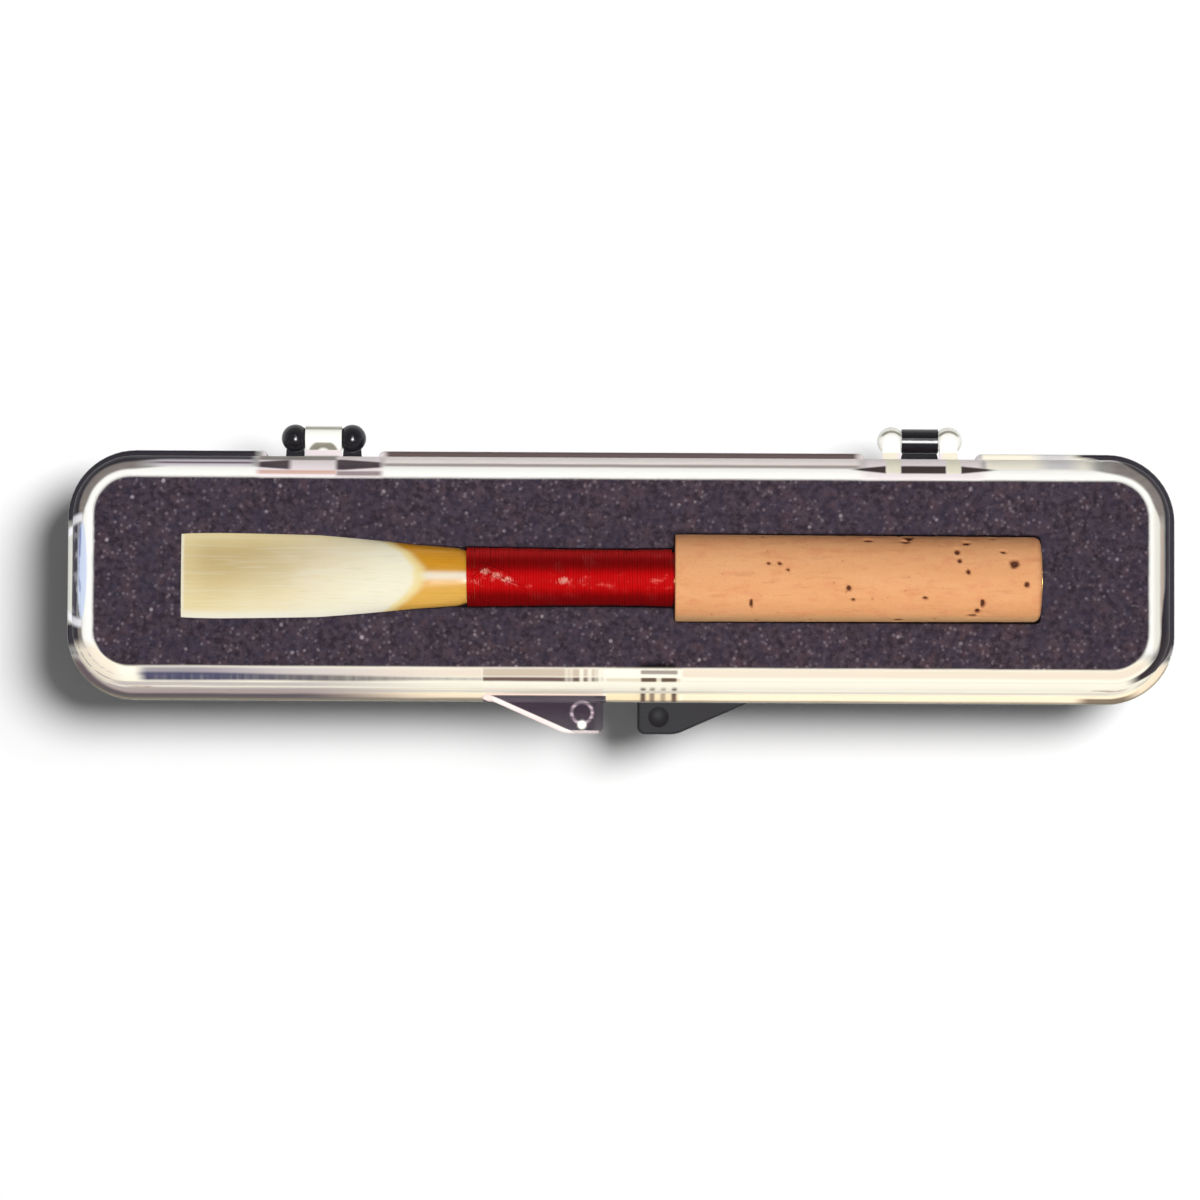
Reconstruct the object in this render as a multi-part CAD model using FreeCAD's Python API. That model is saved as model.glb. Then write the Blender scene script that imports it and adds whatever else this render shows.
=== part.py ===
import FreeCAD
import Part

import math
import os

from FreeCAD import Vector

# An oboe reed lying in its hinged pocket case, in millimetres.
# X runs along the reed from its tip to its heel, +Y is the hinge side of the case, +Z is up.
# The origin is the middle of the case's underside.

# Staple: the metal tube that carries the reed, oval at the top and round at the heel.
staple_length = 47.0
staple_wall = 0.3
staple_top_half_width = 1.70
staple_top_half_height = 1.36
staple_oval_length = 10.1
staple_round_radius = 1.77
staple_heel_radius = 2.75

# Cane: two blades tied on the staple, face to face.
cane_reach = 23.9
tip_half_width = 3.53
tip_half_height = 0.34
cane_thickness = 0.45
throat_shoulder = 0.21
tied_length = 6.6
blade_gap = 0.02
seat_gap = 0.04

# Thread: a plain underlayer, and over it the turns that show.
thread_diameter = 0.28
thread_turns = 24
thread_ahead = 0.4
thread_end_gap = 0.1
binding_thickness = 0.26
underlayer_setback = 0.9
layer_gap = 0.02

# Cork: the sleeve that plugs into the oboe.
cork_length = 30.15
cork_front_radius = 3.6
cork_heel_radius = 3.5
cork_heel_round = 0.45
cork_front_round = 0.15
cork_gap = 0.02

# Case half: the base and the lid are the same moulding.
wall = 1.1
floor = 1.15
wall_lean = 0.26
tip_room = 7.6
heel_room = 9.3
side_room = 5.0
outer_corner = 5.0
inner_corner = 3.5
bottom_round = 1.7
inner_round = 0.6
parting_gap = 0.06
flange_reach = 0.6
flange_depth = 0.9
flange_round = 0.2
notch_round = 0.45

# Foam insert: it fills the base and holds the reed up to its axis.
foam_under = 2.15
foam_drop = 0.1
foam_gap = 0.15
pocket_gap = 0.12
latch_room = 0.3

# Hinges: two balls of one half clip into the ends of a barrel of the other half.
hinge_spread = 49.2
hinge_gap = 0.55
ball_radius = 1.15
ball_bite = 0.3
ball_gap = 0.05
barrel_radius = 1.0
barrel_length = 3.0
barrel_arm_width = 2.3
barrel_arm_root_width = 3.2
ball_arm_width = 1.3
ball_arm_root_width = 1.6
arm_depth = 0.9
notch_room = 1.1

# Latch: each half has a thumb tab, a snap tongue behind it and a groove for the other's bead.
tab_start = 1.4
tab_nose_length = 3.2
tab_slope_length = 5.9
tab_reach = 2.6
tab_thickness = 1.1
tab_nose_round = 0.6
tab_slope_round = 2.4
tab_edge_round = 0.25
dimple_radius = 0.85
dimple_depth = 0.28
dimple_along = 1.75
dimple_out = 1.2
tongue_start = 1.65
tongue_length = 2.95
tongue_rise = 1.9
tongue_root = 2.2
tongue_thickness = 0.85
tongue_gap = 0.2
bead_radius = 0.3
bead_height = 1.2
bead_gap = 0.06

# How far a cutting tool runs past what it cuts.
overrun = 1.0

# Free part of a blade: place from tip to thread, width from throat to tip, height from tip to
# throat, thickness of the full cane, and roundness of the section from a lens to an oval.
free_blade_shares = (
    (0.000, 0.92, 0.00, 0.22, 0.0),
    (0.035, 0.97, 0.04, 0.27, 0.0),
    (0.130, 1.00, 0.12, 0.38, 0.0),
    (0.250, 0.97, 0.26, 0.53, 0.0),
    (0.355, 0.93, 0.38, 0.66, 0.1),
    (0.485, 0.87, 0.53, 0.82, 0.2),
    (0.570, 0.73, 0.61, 0.87, 0.3),
    (0.660, 0.57, 0.70, 0.93, 0.4),
    (0.745, 0.40, 0.77, 0.97, 0.5),
    (0.830, 0.23, 0.84, 1.00, 0.7),
    (0.910, 0.12, 0.91, 1.00, 0.9),
    (0.980, 0.00, 0.98, 1.00, 1.0),
)

# Tied part of a blade: place from thread to blade end, thickness at the side and at the crown.
tied_blade_shares = (
    (0.00, 0.95, 1.00),
    (0.13, 0.70, 0.98),
    (0.50, 0.60, 0.78),
    (1.00, 0.36, 0.42),
)

# Binding under the turns: place from blade end to cork, and thickness of the full binding.
binding_over_cane_share = 0.42
binding_over_staple_shares = (
    (0.00, 0.50),
    (0.35, 1.00),
    (0.73, 0.63),
    (1.00, 0.62),
)

# Stations along the reed, measured from its tip.
reed_length = cane_reach + staple_length
round_station = cane_reach + staple_oval_length
thread_station = cane_reach - thread_ahead
blade_end_station = cane_reach + tied_length
cork_station = reed_length - cork_length
underlayer_station = thread_station + underlayer_setback

# The case is worked out from the reed outwards.
inner_half_length = (reed_length + tip_room + heel_room) / 2
inner_half_width = cork_front_radius + side_room
body_half_length = inner_half_length + wall
body_half_width = inner_half_width + wall
flange_half_length = body_half_length + flange_reach
flange_half_width = body_half_width + flange_reach
parting_height = floor + foam_under + cork_front_radius + foam_drop
rim_height = parting_height - parting_gap / 2
axis_height = parting_height - foam_drop
tip_place = tip_room - inner_half_length

# The hinge line.
hinge_out = body_half_width + hinge_gap + max(ball_radius, barrel_radius)
ball_offset = barrel_length / 2 + ball_radius - ball_bite
notch_half_width = ball_offset + ball_radius + notch_room

half_turn_degrees = 180
axis_x = Vector(1, 0, 0)
axis_y = Vector(0, 1, 0)
axis_z = Vector(0, 0, 1)


def between(first, last, share):
    """The value at a share of the way from the first to the last."""
    return first + (last - first) * share


def reed_point(station, across, rise):
    """A point given from the reed's tip and its axis."""
    return Vector(tip_place + station, across, axis_height + rise)


def crown_points(half_width, height, roundness, count=9):
    """Points over a crown, from one side to the other: a lens arc, an oval, or between them."""
    radius = (half_width**2 + height**2) / (2 * height)
    half_angle = math.asin(min(1, half_width / radius))
    points = []
    for index in range(count):
        swing = 1 - 2 * index / (count - 1)
        lens_across = radius * math.sin(half_angle * swing)
        lens_rise = height - radius * (1 - math.cos(half_angle * swing))
        oval_across = half_width * math.sin(math.pi / 2 * swing)
        oval_rise = height * math.cos(math.pi / 2 * swing)
        across = between(lens_across, oval_across, roundness)
        rise = max(0, between(lens_rise, oval_rise, roundness))
        points.append((across, rise))
    return points


def smooth_edge(points):
    """One smooth curve through points."""
    curve = Part.BSplineCurve()
    curve.interpolate(points)
    return curve.toShape()


def ring_wire(station, half_width, half_height, count=24):
    """A closed oval about the reed's axis."""
    points = []
    for index in range(count):
        angle = 2 * math.pi * index / count
        points.append(reed_point(station, half_width * math.cos(angle), half_height * math.sin(angle)))
    curve = Part.BSplineCurve()
    curve.interpolate(points, True)
    return Part.Wire([curve.toShape()])


def box(low, high):
    """A box between two opposite corners."""
    size = high - low
    return Part.makeBox(size.x, size.y, size.z, low)


def flat_wire(points):
    """A closed outline of straight lines."""
    return Part.makePolygon(points + points[:1])


def edges_at(solid, height):
    """The edges of a solid that lie at one height."""
    near = layer_gap / 2
    found = []
    for edge in solid.Edges:
        bounds = edge.BoundBox
        if abs(bounds.ZMin - height) < near and abs(bounds.ZMax - height) < near:
            found.append(edge)
    return found


def staple_half_size(station):
    """Outer half width and half height of the staple at a station."""
    if station <= round_station:
        share = max(0, (station - cane_reach) / staple_oval_length)
        half_width = between(staple_top_half_width, staple_round_radius, share)
        half_height = between(staple_top_half_height, staple_round_radius, share)
        return half_width, half_height
    share = min(1, (station - round_station) / (reed_length - round_station))
    radius = between(staple_round_radius, staple_heel_radius, share)
    return radius, radius


def tied_sizes():
    """Stations of the tied cane, with the half sizes of its bore and of its outside."""
    sizes = []
    for place, side, crown in tied_blade_shares:
        station = between(thread_station, blade_end_station, place)
        staple_width, staple_height = staple_half_size(station)
        bore_width = staple_width + seat_gap
        bore_height = staple_height + seat_gap
        outer_width = bore_width + side * cane_thickness
        outer_height = bore_height + crown * cane_thickness
        sizes.append((station, bore_width, bore_height, outer_width, outer_height))
    return sizes


def free_sizes():
    """Stations of the free cane, with the half sizes of its bore and outside, and roundness."""
    _, _, _, tied_width, throat_height = tied_sizes()[0]
    throat_width = tied_width + throat_shoulder
    sizes = []
    for place, width, height, thickness, roundness in free_blade_shares:
        station = thread_station * place
        outer_width = between(throat_width, tip_half_width, width)
        outer_height = between(tip_half_height, throat_height, height)
        cane = thickness * cane_thickness
        sizes.append((station, outer_width - cane, outer_height - cane, outer_width, outer_height, roundness))
    return sizes


def blade_section(station, bore_width, bore_height, outer_width, outer_height, roundness, side):
    """Crescent section of one blade, resting on the plane between the two blades."""
    lift = blade_gap / 2

    def place(points):
        return [reed_point(station, across, side * (lift + rise)) for across, rise in points]

    outside = place(crown_points(outer_width, outer_height - lift, roundness))
    bore = place(reversed(crown_points(bore_width, bore_height - lift, roundness)))
    edges = [
        smooth_edge(outside),
        Part.makeLine(outside[-1], bore[0]),
        smooth_edge(bore),
        Part.makeLine(bore[-1], outside[0]),
    ]
    return Part.Wire(edges)


def blade(side):
    """One cane blade, from its thin tip to its end on the staple."""
    sections = [blade_section(*sizes, side) for sizes in free_sizes()]
    oval = 1
    sections += [blade_section(*sizes, oval, side) for sizes in tied_sizes()]
    return Part.makeLoft(sections, True, True)


def staple_stack(inset):
    """Solid along the staple, inset from its outside, running past both ends."""
    reach = overrun if inset > 0 else 0
    top = (staple_top_half_width - inset, staple_top_half_height - inset)
    heel = staple_heel_radius - inset
    wires = [ring_wire(cane_reach - reach, *top)]
    if reach > 0:
        wires.append(ring_wire(cane_reach, *top))
    wires.append(ring_wire(round_station, staple_round_radius - inset, staple_round_radius - inset))
    wires.append(ring_wire(reed_length, heel, heel))
    if reach > 0:
        wires.append(ring_wire(reed_length + reach, heel, heel))
    return Part.makeLoft(wires, True, True)


def staple_tube():
    return staple_stack(0).cut(staple_stack(staple_wall))


def half_sizes_at(station, table):
    """Half width and half height at a station, between the rows of a table of stations."""
    if station <= table[0][0]:
        return table[0][1:]
    for before, after in zip(table, table[1:]):
        if station <= after[0]:
            share = (station - before[0]) / (after[0] - before[0])
            return between(before[1], after[1], share), between(before[2], after[2], share)
    return table[-1][1:]


def cane_outside():
    """Stations and outer half sizes of the tied cane."""
    return [(station, width, height) for station, _, _, width, height in tied_sizes()]


def stations_over_cane():
    """Stations of the binding from its front to the end of the cane."""
    return [underlayer_station] + [row[0] for row in cane_outside() if row[0] > underlayer_station]


def binding_outside():
    """Stations and outer half sizes of the binding, from its front to the cork."""
    cane = cane_outside()
    rise = binding_over_cane_share * binding_thickness
    outside = []
    for station in stations_over_cane()[:-1]:
        width, height = half_sizes_at(station, cane)
        outside.append((station, width + rise, height + rise))
    last = cork_station - layer_gap
    for place, thickness in binding_over_staple_shares:
        station = between(blade_end_station + layer_gap, last, place)
        width, height = cane[-1][1:] if place == 0 else staple_half_size(station)
        rise = thickness * binding_thickness
        outside.append((station, width + rise, height + rise))
    return outside


def binding_bore():
    """Stations and half sizes of the binding's bore, round the cane's end and the staple."""
    cane = cane_outside()
    bore = []
    for station in stations_over_cane():
        width, height = half_sizes_at(station, cane)
        bore.append((station, width + layer_gap, height + layer_gap))
    bore.insert(0, (underlayer_station - overrun, *bore[0][1:]))
    bore.append((blade_end_station + layer_gap, *bore[-1][1:]))
    below_end = blade_end_station + layer_gap + cane_thickness
    stations = [below_end, cork_station, cork_station + overrun]
    if below_end < round_station < cork_station:
        stations.insert(1, round_station)
    for station in stations:
        width, height = staple_half_size(station)
        bore.append((station, width + layer_gap, height + layer_gap))
    return bore


def thread_underlayer():
    """The turns below, as one plain sleeve over the cane's end and the staple."""
    outer = Part.makeLoft([ring_wire(*size) for size in binding_outside()], True, True)
    return outer.cut(Part.makeLoft([ring_wire(*size) for size in binding_bore()], True, True))


def turn_half_size(station):
    """Half sizes of the path of the turns, over the binding or the bare cane in front of it."""
    rise = thread_diameter / 2 + layer_gap
    width, height = half_sizes_at(station, binding_outside())
    if station < underlayer_station:
        cane_width, cane_height = half_sizes_at(station, cane_outside())
        width = max(width, cane_width)
        height = max(height, cane_height)
    return width + rise, height + rise


def turn_point(turn):
    """The thread's centre after a number of turns from its start."""
    half_wire = thread_diameter / 2
    start = thread_station + half_wire + layer_gap
    end = cork_station - thread_end_gap - half_wire
    station = between(start, end, turn / thread_turns)
    half_width, half_height = turn_half_size(station)
    angle = 2 * math.pi * turn
    return reed_point(station, half_width * math.cos(angle), half_height * math.sin(angle))


def turn_direction(turn):
    """Direction of the thread at a number of turns."""
    step_share = 0.001
    before = turn_point(turn - step_share)
    after = turn_point(turn + step_share)
    return (after - before).normalize()


def arc_from(start, end, direction):
    """An arc from start to end that leaves along a direction."""
    chord = end - start
    half_chord = chord.Length / 2
    angle = direction.getAngle(chord)
    outward = direction * chord.Length - chord * math.cos(angle)
    outward.normalize()
    middle = (start + end) / 2 + outward * half_chord * math.tan(angle / 2)
    return Part.Arc(start, middle, end).toShape()


def biarc(start, start_direction, end, end_direction):
    """Two arcs that join two points and keep both directions."""
    chord = end - start
    both = start_direction + end_direction
    bend = 2 * (1 - start_direction.dot(end_direction))
    along = chord.dot(both)
    reach = (math.sqrt(along**2 + bend * chord.dot(chord)) - along) / bend
    joint = (start + start_direction * reach + end - end_direction * reach) / 2
    leaving = (joint - start - start_direction * reach).normalize()
    return [arc_from(start, joint, start_direction), arc_from(joint, end, leaving)]


def thread_winding():
    """The turns that show, as one unbroken tube with a straight piece at each end."""
    steps_per_turn = 4
    turns = [index / steps_per_turn for index in range(thread_turns * steps_per_turn + 1)]
    points = [turn_point(turn) for turn in turns]
    directions = [turn_direction(turn) for turn in turns]
    lead = points[0] - directions[0] * thread_diameter
    trail = points[-1] + directions[-1] * thread_diameter
    edges = [Part.makeLine(lead, points[0])]
    for index in range(len(turns) - 1):
        following = index + 1
        edges += biarc(points[index], directions[index], points[following], directions[following])
    edges.append(Part.makeLine(points[-1], trail))
    path = Part.Wire(edges)
    print_least_gap(edges)
    circle = Part.Circle(lead, directions[0], thread_diameter / 2)
    profile = Part.Wire([circle.toShape()])
    return path.makePipeShell([profile], True, False)


def print_least_gap(edges):
    """Measure the turns' least gap to each other on points along the path."""
    arcs_per_turn = 8
    points_per_arc = 6
    half_turn = arcs_per_turn * points_per_arc // 2
    points = []
    for edge in edges:
        points += edge.discretize(points_per_arc + 1)[:-1]
    least = min(
        points[first].distanceToPoint(points[second])
        for first in range(len(points))
        for second in range(first + half_turn, min(len(points), first + 3 * half_turn))
    )
    print("thread turns", thread_turns, "least gap", round(least - thread_diameter, 3), "mm")


def cork_sleeve():
    """Cork round the staple's lower end, rounded at both rims."""
    start = reed_point(cork_station, 0, 0)
    cork = Part.makeCone(cork_front_radius, cork_heel_radius, cork_length, start, axis_x)
    front = [edge for edge in cork.Edges if edge.BoundBox.XMax < start.x + layer_gap]
    cork = cork.makeFillet(cork_front_round, front)
    heel = [edge for edge in cork.Edges if edge.BoundBox.XMin > start.x + cork_length - layer_gap]
    cork = cork.makeFillet(cork_heel_round, heel)
    wires = []
    for station in (cork_station - overrun, cork_station, reed_length, reed_length + overrun):
        width, height = staple_half_size(station)
        wires.append(ring_wire(station, width + cork_gap, height + cork_gap))
    return cork.cut(Part.makeLoft(wires, True, True))


def rounded_outline(half_length, half_width, corner, height):
    """Outline of a rounded rectangle about the Z axis."""
    bulge = corner * math.sqrt(0.5)
    arcs = []
    for side_x, side_y in ((1, 1), (-1, 1), (-1, -1), (1, -1)):
        centre = Vector(side_x * (half_length - corner), side_y * (half_width - corner), height)
        on_end = centre + Vector(side_x * corner, 0, 0)
        on_side = centre + Vector(0, side_y * corner, 0)
        middle = centre + Vector(side_x * bulge, side_y * bulge, 0)
        first, last = (on_end, on_side) if side_x == side_y else (on_side, on_end)
        arcs.append((first, middle, last))
    edges = []
    for index, (first, middle, last) in enumerate(arcs):
        following = arcs[(index + 1) % len(arcs)][0]
        edges.append(Part.Arc(first, middle, last).toShape())
        edges.append(Part.makeLine(last, following))
    return Part.Wire(edges)


def wall_outline(inset, corner, height):
    """Outline inside the case's outer face at a height, following the lean of the walls."""
    lean = wall_lean * (1 - height / parting_height)
    back = inset + lean
    return rounded_outline(body_half_length - back, body_half_width - back, corner, height)


def case_body():
    """The outside of a case half, leaning in towards its rounded bottom."""
    body = Part.makeLoft([wall_outline(0, outer_corner, 0), wall_outline(0, outer_corner, rim_height)], True, True)
    return body.makeFillet(bottom_round, edges_at(body, 0))


def case_cavity():
    """The inside of a case half, above its floor."""
    low = wall_outline(wall, inner_corner, floor)
    high = wall_outline(wall, inner_corner, rim_height + overrun)
    cavity = Part.makeLoft([low, high], True, True)
    return cavity.makeFillet(inner_round, edges_at(cavity, floor))


def notch_corners(flange):
    """The upright outer edges of a flange where its notches end."""
    found = []
    for edge in flange.Edges:
        middle = edge.CenterOfMass
        from_hinge = abs(abs(middle.x) - hinge_spread / 2)
        at_end = abs(from_hinge - notch_half_width) < layer_gap
        upright = edge.BoundBox.ZLength > flange_depth - layer_gap
        if upright and at_end and middle.y > body_half_width:
            found.append(edge)
    return found


def case_flange():
    """The rim that stands out round a case half, open at both hinges."""
    low = rim_height - flange_depth
    outline = rounded_outline(flange_half_length, flange_half_width, outer_corner + flange_reach, low)
    flange = Part.Face(outline).extrude(axis_z * flange_depth)
    for side in (-1, 1):
        middle = side * hinge_spread / 2
        corner = Vector(middle - notch_half_width, body_half_width - wall / 2, low - overrun)
        opposite = Vector(middle + notch_half_width, flange_half_width + overrun, rim_height + overrun)
        flange = flange.cut(box(corner, opposite))
    flange = flange.makeFillet(notch_round, notch_corners(flange))
    rims = edges_at(flange, low) + edges_at(flange, rim_height)
    return flange.makeFillet(flange_round, rims)


def hinge_arm(middle, width, root_width):
    """An arm from the back wall out to the hinge line, below the parting plane, wider at its root."""
    low = rim_height - arm_depth
    inside = body_half_width - wall / 2
    points = [
        Vector(middle - root_width / 2, inside, low),
        Vector(middle + root_width / 2, inside, low),
        Vector(middle + root_width / 2, body_half_width, low),
        Vector(middle + width / 2, hinge_out, low),
        Vector(middle - width / 2, hinge_out, low),
        Vector(middle - root_width / 2, body_half_width, low),
    ]
    return Part.Face(flat_wire(points)).extrude(axis_z * arm_depth)


def hinge_balls(middle):
    """The two balls of a hinge, each on its arm."""
    pieces = []
    for side in (-1, 1):
        place = middle + side * ball_offset
        pieces.append(Part.makeSphere(ball_radius, Vector(place, hinge_out, parting_height)))
        pieces.append(hinge_arm(place, ball_arm_width, ball_arm_root_width))
    return pieces


def hinge_barrel(middle):
    """The barrel of a hinge on its arm, with a dimple in each end for the other half's balls."""
    start = Vector(middle - barrel_length / 2, hinge_out, parting_height)
    barrel = Part.makeCylinder(barrel_radius, barrel_length, start, axis_x)
    barrel = barrel.fuse(hinge_arm(middle, barrel_arm_width, barrel_arm_root_width))
    for side in (-1, 1):
        centre = Vector(middle + side * ball_offset, hinge_out, parting_height)
        barrel = barrel.cut(Part.makeSphere(ball_radius + ball_gap, centre))
    return barrel


def thumb_tab():
    """The tab in front of the latch: blunt at one side, sloping back to the rim at the other."""
    low = rim_height - tab_thickness
    root = -(flange_half_width - flange_reach / 2)
    rim = -flange_half_width
    nose = rim - tab_reach
    nose_end = tab_start + tab_nose_length
    slope_end = nose_end + tab_slope_length
    points = [
        Vector(tab_start, root, low),
        Vector(tab_start, nose, low),
        Vector(nose_end, nose, low),
        Vector(slope_end, rim, low),
        Vector(slope_end, root, low),
    ]
    tab = Part.Face(flat_wire(points)).extrude(axis_z * tab_thickness)
    rounds = ((tab_start, tab_nose_round), (nose_end, tab_slope_round))
    for place, radius in rounds:
        corner = Vector(place, nose, low + tab_thickness / 2)
        upright = [edge for edge in tab.Edges if edge.CenterOfMass.distanceToPoint(corner) < layer_gap]
        tab = tab.makeFillet(radius, upright)
    near_nose = [
        edge
        for edge in edges_at(tab, low) + edges_at(tab, rim_height)
        if edge.BoundBox.YMin < rim - layer_gap
    ]
    tab = tab.makeFillet(tab_edge_round, near_nose)
    sphere_radius = (dimple_radius**2 + dimple_depth**2) / (2 * dimple_depth)
    centre = Vector(tab_start + dimple_along, rim - dimple_out, rim_height - dimple_depth + sphere_radius)
    return tab.cut(Part.makeSphere(sphere_radius, centre))


def snap_tongue():
    """The tongue that reaches into the other half, its rib on the front wall and its bead."""
    outer_face = -(inner_half_width - tongue_gap)
    inner_face = outer_face + tongue_thickness
    low = parting_height - tongue_root
    end = tongue_start + tongue_length
    blade_box = box(
        Vector(tongue_start, outer_face, low),
        Vector(end, inner_face, parting_height + tongue_rise),
    )
    rib = box(
        Vector(tongue_start, -(inner_half_width + wall / 2), low),
        Vector(end, inner_face, rim_height),
    )
    bead_start = Vector(tongue_start, outer_face, parting_height + bead_height)
    bead = Part.makeCylinder(bead_radius, tongue_length, bead_start, axis_x)
    return blade_box.fuse([rib, bead])


def bead_groove():
    """The groove in the front wall that the other half's bead snaps into."""
    start = Vector(
        -(tongue_start + tongue_length + tongue_gap),
        -(inner_half_width - tongue_gap),
        parting_height - bead_height,
    )
    return Part.makeCylinder(bead_radius + bead_gap, tongue_length + 2 * tongue_gap, start, axis_x)


def case_half():
    """The moulding that serves as base, and turned over as lid."""
    balls = hinge_balls(-hinge_spread / 2)
    barrel = hinge_barrel(hinge_spread / 2)
    half = case_body().fuse([case_flange(), barrel, thumb_tab()] + balls)
    half = half.cut(case_cavity())
    half = half.fuse(snap_tongue())
    return half.cut(bead_groove()).removeSplitter()


def turned_over(half):
    """The same moulding turned over about a line across the case at the parting plane."""
    lid = half.copy()
    lid.rotate(Vector(0, 0, parting_height), axis_y, half_turn_degrees)
    return lid


def pocket_cut(stations):
    """Trough in the foam that takes part of the reed, open upwards."""
    wires = []
    for station, half_width, half_height, roundness in stations:
        width = half_width + pocket_gap
        under = crown_points(width, half_height + pocket_gap, roundness)
        points = [reed_point(station, across, -rise) for across, rise in under]
        first_top = reed_point(station, width, overrun)
        last_top = reed_point(station, -width, overrun)
        edges = [
            smooth_edge(points),
            Part.makeLine(points[-1], last_top),
            Part.makeLine(last_top, first_top),
            Part.makeLine(first_top, points[0]),
        ]
        wires.append(Part.Wire(edges))
    return Part.makeLoft(wires, True, True)


def reed_pocket():
    """Close-fitting pocket for the lower half of the blades, the thread and the cork."""
    free = [(station, width, height, roundness) for station, _, _, width, height, roundness in free_sizes()]
    first = free[0]
    blades = [(first[0] - pocket_gap, *first[1:])] + free
    oval = 1
    thread = []
    for station in (free[-1][0], underlayer_station, round_station, cork_station):
        width, height = turn_half_size(station)
        thread.append((station, width + thread_diameter / 2, height + thread_diameter / 2, oval))
    cork = []
    for station in (cork_station - pocket_gap, reed_length + pocket_gap):
        cork.append((station, cork_front_radius, cork_front_radius, oval))
    return [pocket_cut(blades), pocket_cut(thread), pocket_cut(cork)]


def latch_notches():
    """Room in the foam for the two snap tongues."""
    deepest = max(tongue_root, tongue_rise) + latch_room
    inner_face = -(inner_half_width - tongue_gap - tongue_thickness - latch_room)
    start = tongue_start - latch_room
    end = tongue_start + tongue_length + latch_room
    low_height = parting_height - deepest
    notches = []
    for first, last in ((start, end), (-end, -start)):
        low = Vector(first, -body_half_width, low_height)
        notches.append(box(low, Vector(last, inner_face, parting_height + overrun)))
    return notches


def foam_insert():
    """Foam that fills the base, with the reed's pocket in its top."""
    corner = inner_corner - foam_gap
    low = wall_outline(wall + foam_gap, corner, floor)
    high = wall_outline(wall + foam_gap, corner, axis_height)
    block = Part.makeLoft([low, high], True, True)
    block = block.makeFillet(inner_round, edges_at(block, floor))
    return block.cut(reed_pocket() + latch_notches())


def main():
    os.makedirs("parts", exist_ok=True)
    half = case_half()
    nodes = {
        "case_base": half,
        "case_lid": turned_over(half),
        "foam_insert": foam_insert(),
        "upper_blade": blade(1),
        "lower_blade": blade(-1),
        "staple_tube": staple_tube(),
        "thread_underlayer": thread_underlayer(),
        "thread_winding": thread_winding(),
        "cork_sleeve": cork_sleeve(),
    }
    for name, shape in nodes.items():
        print(name, "valid", shape.isValid(), "solids", len(shape.Solids), "volume", round(shape.Volume, 2))
        shape.exportStep("parts/" + name + ".step")


main()
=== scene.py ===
"""An oboe reed in its hinged case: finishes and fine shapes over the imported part."""

import math
import random
from functools import cached_property

import bpy
import numpy as np
from bpy.props import FloatProperty, FloatVectorProperty, IntProperty, PointerProperty
from bpy.types import Operator, Panel, PropertyGroup
from mathutils import Matrix, Vector, noise


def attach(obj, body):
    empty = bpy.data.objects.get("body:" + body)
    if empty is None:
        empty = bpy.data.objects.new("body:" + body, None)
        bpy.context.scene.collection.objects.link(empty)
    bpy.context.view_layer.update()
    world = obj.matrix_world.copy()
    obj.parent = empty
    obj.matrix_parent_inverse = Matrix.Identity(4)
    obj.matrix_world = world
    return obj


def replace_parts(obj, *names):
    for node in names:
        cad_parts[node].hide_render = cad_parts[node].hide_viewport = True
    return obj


bl_info = {
    "name": "Oboe reed in its case",
    "version": (1, 0, 0),
    "blender": (4, 5, 0),
    "location": "View3D > Sidebar > Oboe Reed",
    "description": "Builds the finishes and fine shapes of an oboe reed and its case",
    "category": "Object",
}

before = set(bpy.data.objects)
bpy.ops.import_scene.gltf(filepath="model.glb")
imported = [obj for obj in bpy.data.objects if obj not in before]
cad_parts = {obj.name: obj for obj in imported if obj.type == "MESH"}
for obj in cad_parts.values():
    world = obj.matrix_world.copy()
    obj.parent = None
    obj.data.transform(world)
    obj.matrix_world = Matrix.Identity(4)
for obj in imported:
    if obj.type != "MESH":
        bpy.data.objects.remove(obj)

MM = 0.001

# The reed, in millimetres, with stations counted from its tip.
TIP_PLACE = -36.3
AXIS_HEIGHT = 6.9
CANE_REACH = 23.9
BLADE_END = 30.5
CORK_STATION = 40.75
ROUND_STATION = 34.0
REED_LENGTH = 70.9
STAPLE_TOP = (1.70, 1.36)
STAPLE_ROUND = 1.77
STAPLE_HEEL = 2.75
BLADE_GAP = 0.02
SKIN_GAP = 0.02

# The cork's radii at its front and its heel, the rounds of its two edges, and its middle radius.
CORK_RADII = (3.6, 3.5)
CORK_ROUNDS = (0.15, 0.6)
CORK_MIDDLE = 3.55

# Depth of a pore at its darkest, and the depth and half width of the cork's seam.
DARK_DEPTH = 0.26
SEAM_DEPTH = 0.07
SEAM_HALF = 0.09

# Place of both hinges along the case, either side of its middle, and height of its parting line.
HINGE_PLACE = 24.6
PARTING_HEIGHT = 7.0

# The foam's pocket, short of its edges: its ends along the case, half its width and its floor.
POCKET_ENDS = (-36.6, 34.9)
POCKET_HALF = 3.9
POCKET_FLOOR = 3

# Middle and width of what the camera sees at the parting line, and half the floor's width.
VIEW_MIDDLE = (-1.72, -1.86, PARTING_HEIGHT)
VIEW_WIDTH = 99
FLOOR_HALF = 3000

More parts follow.
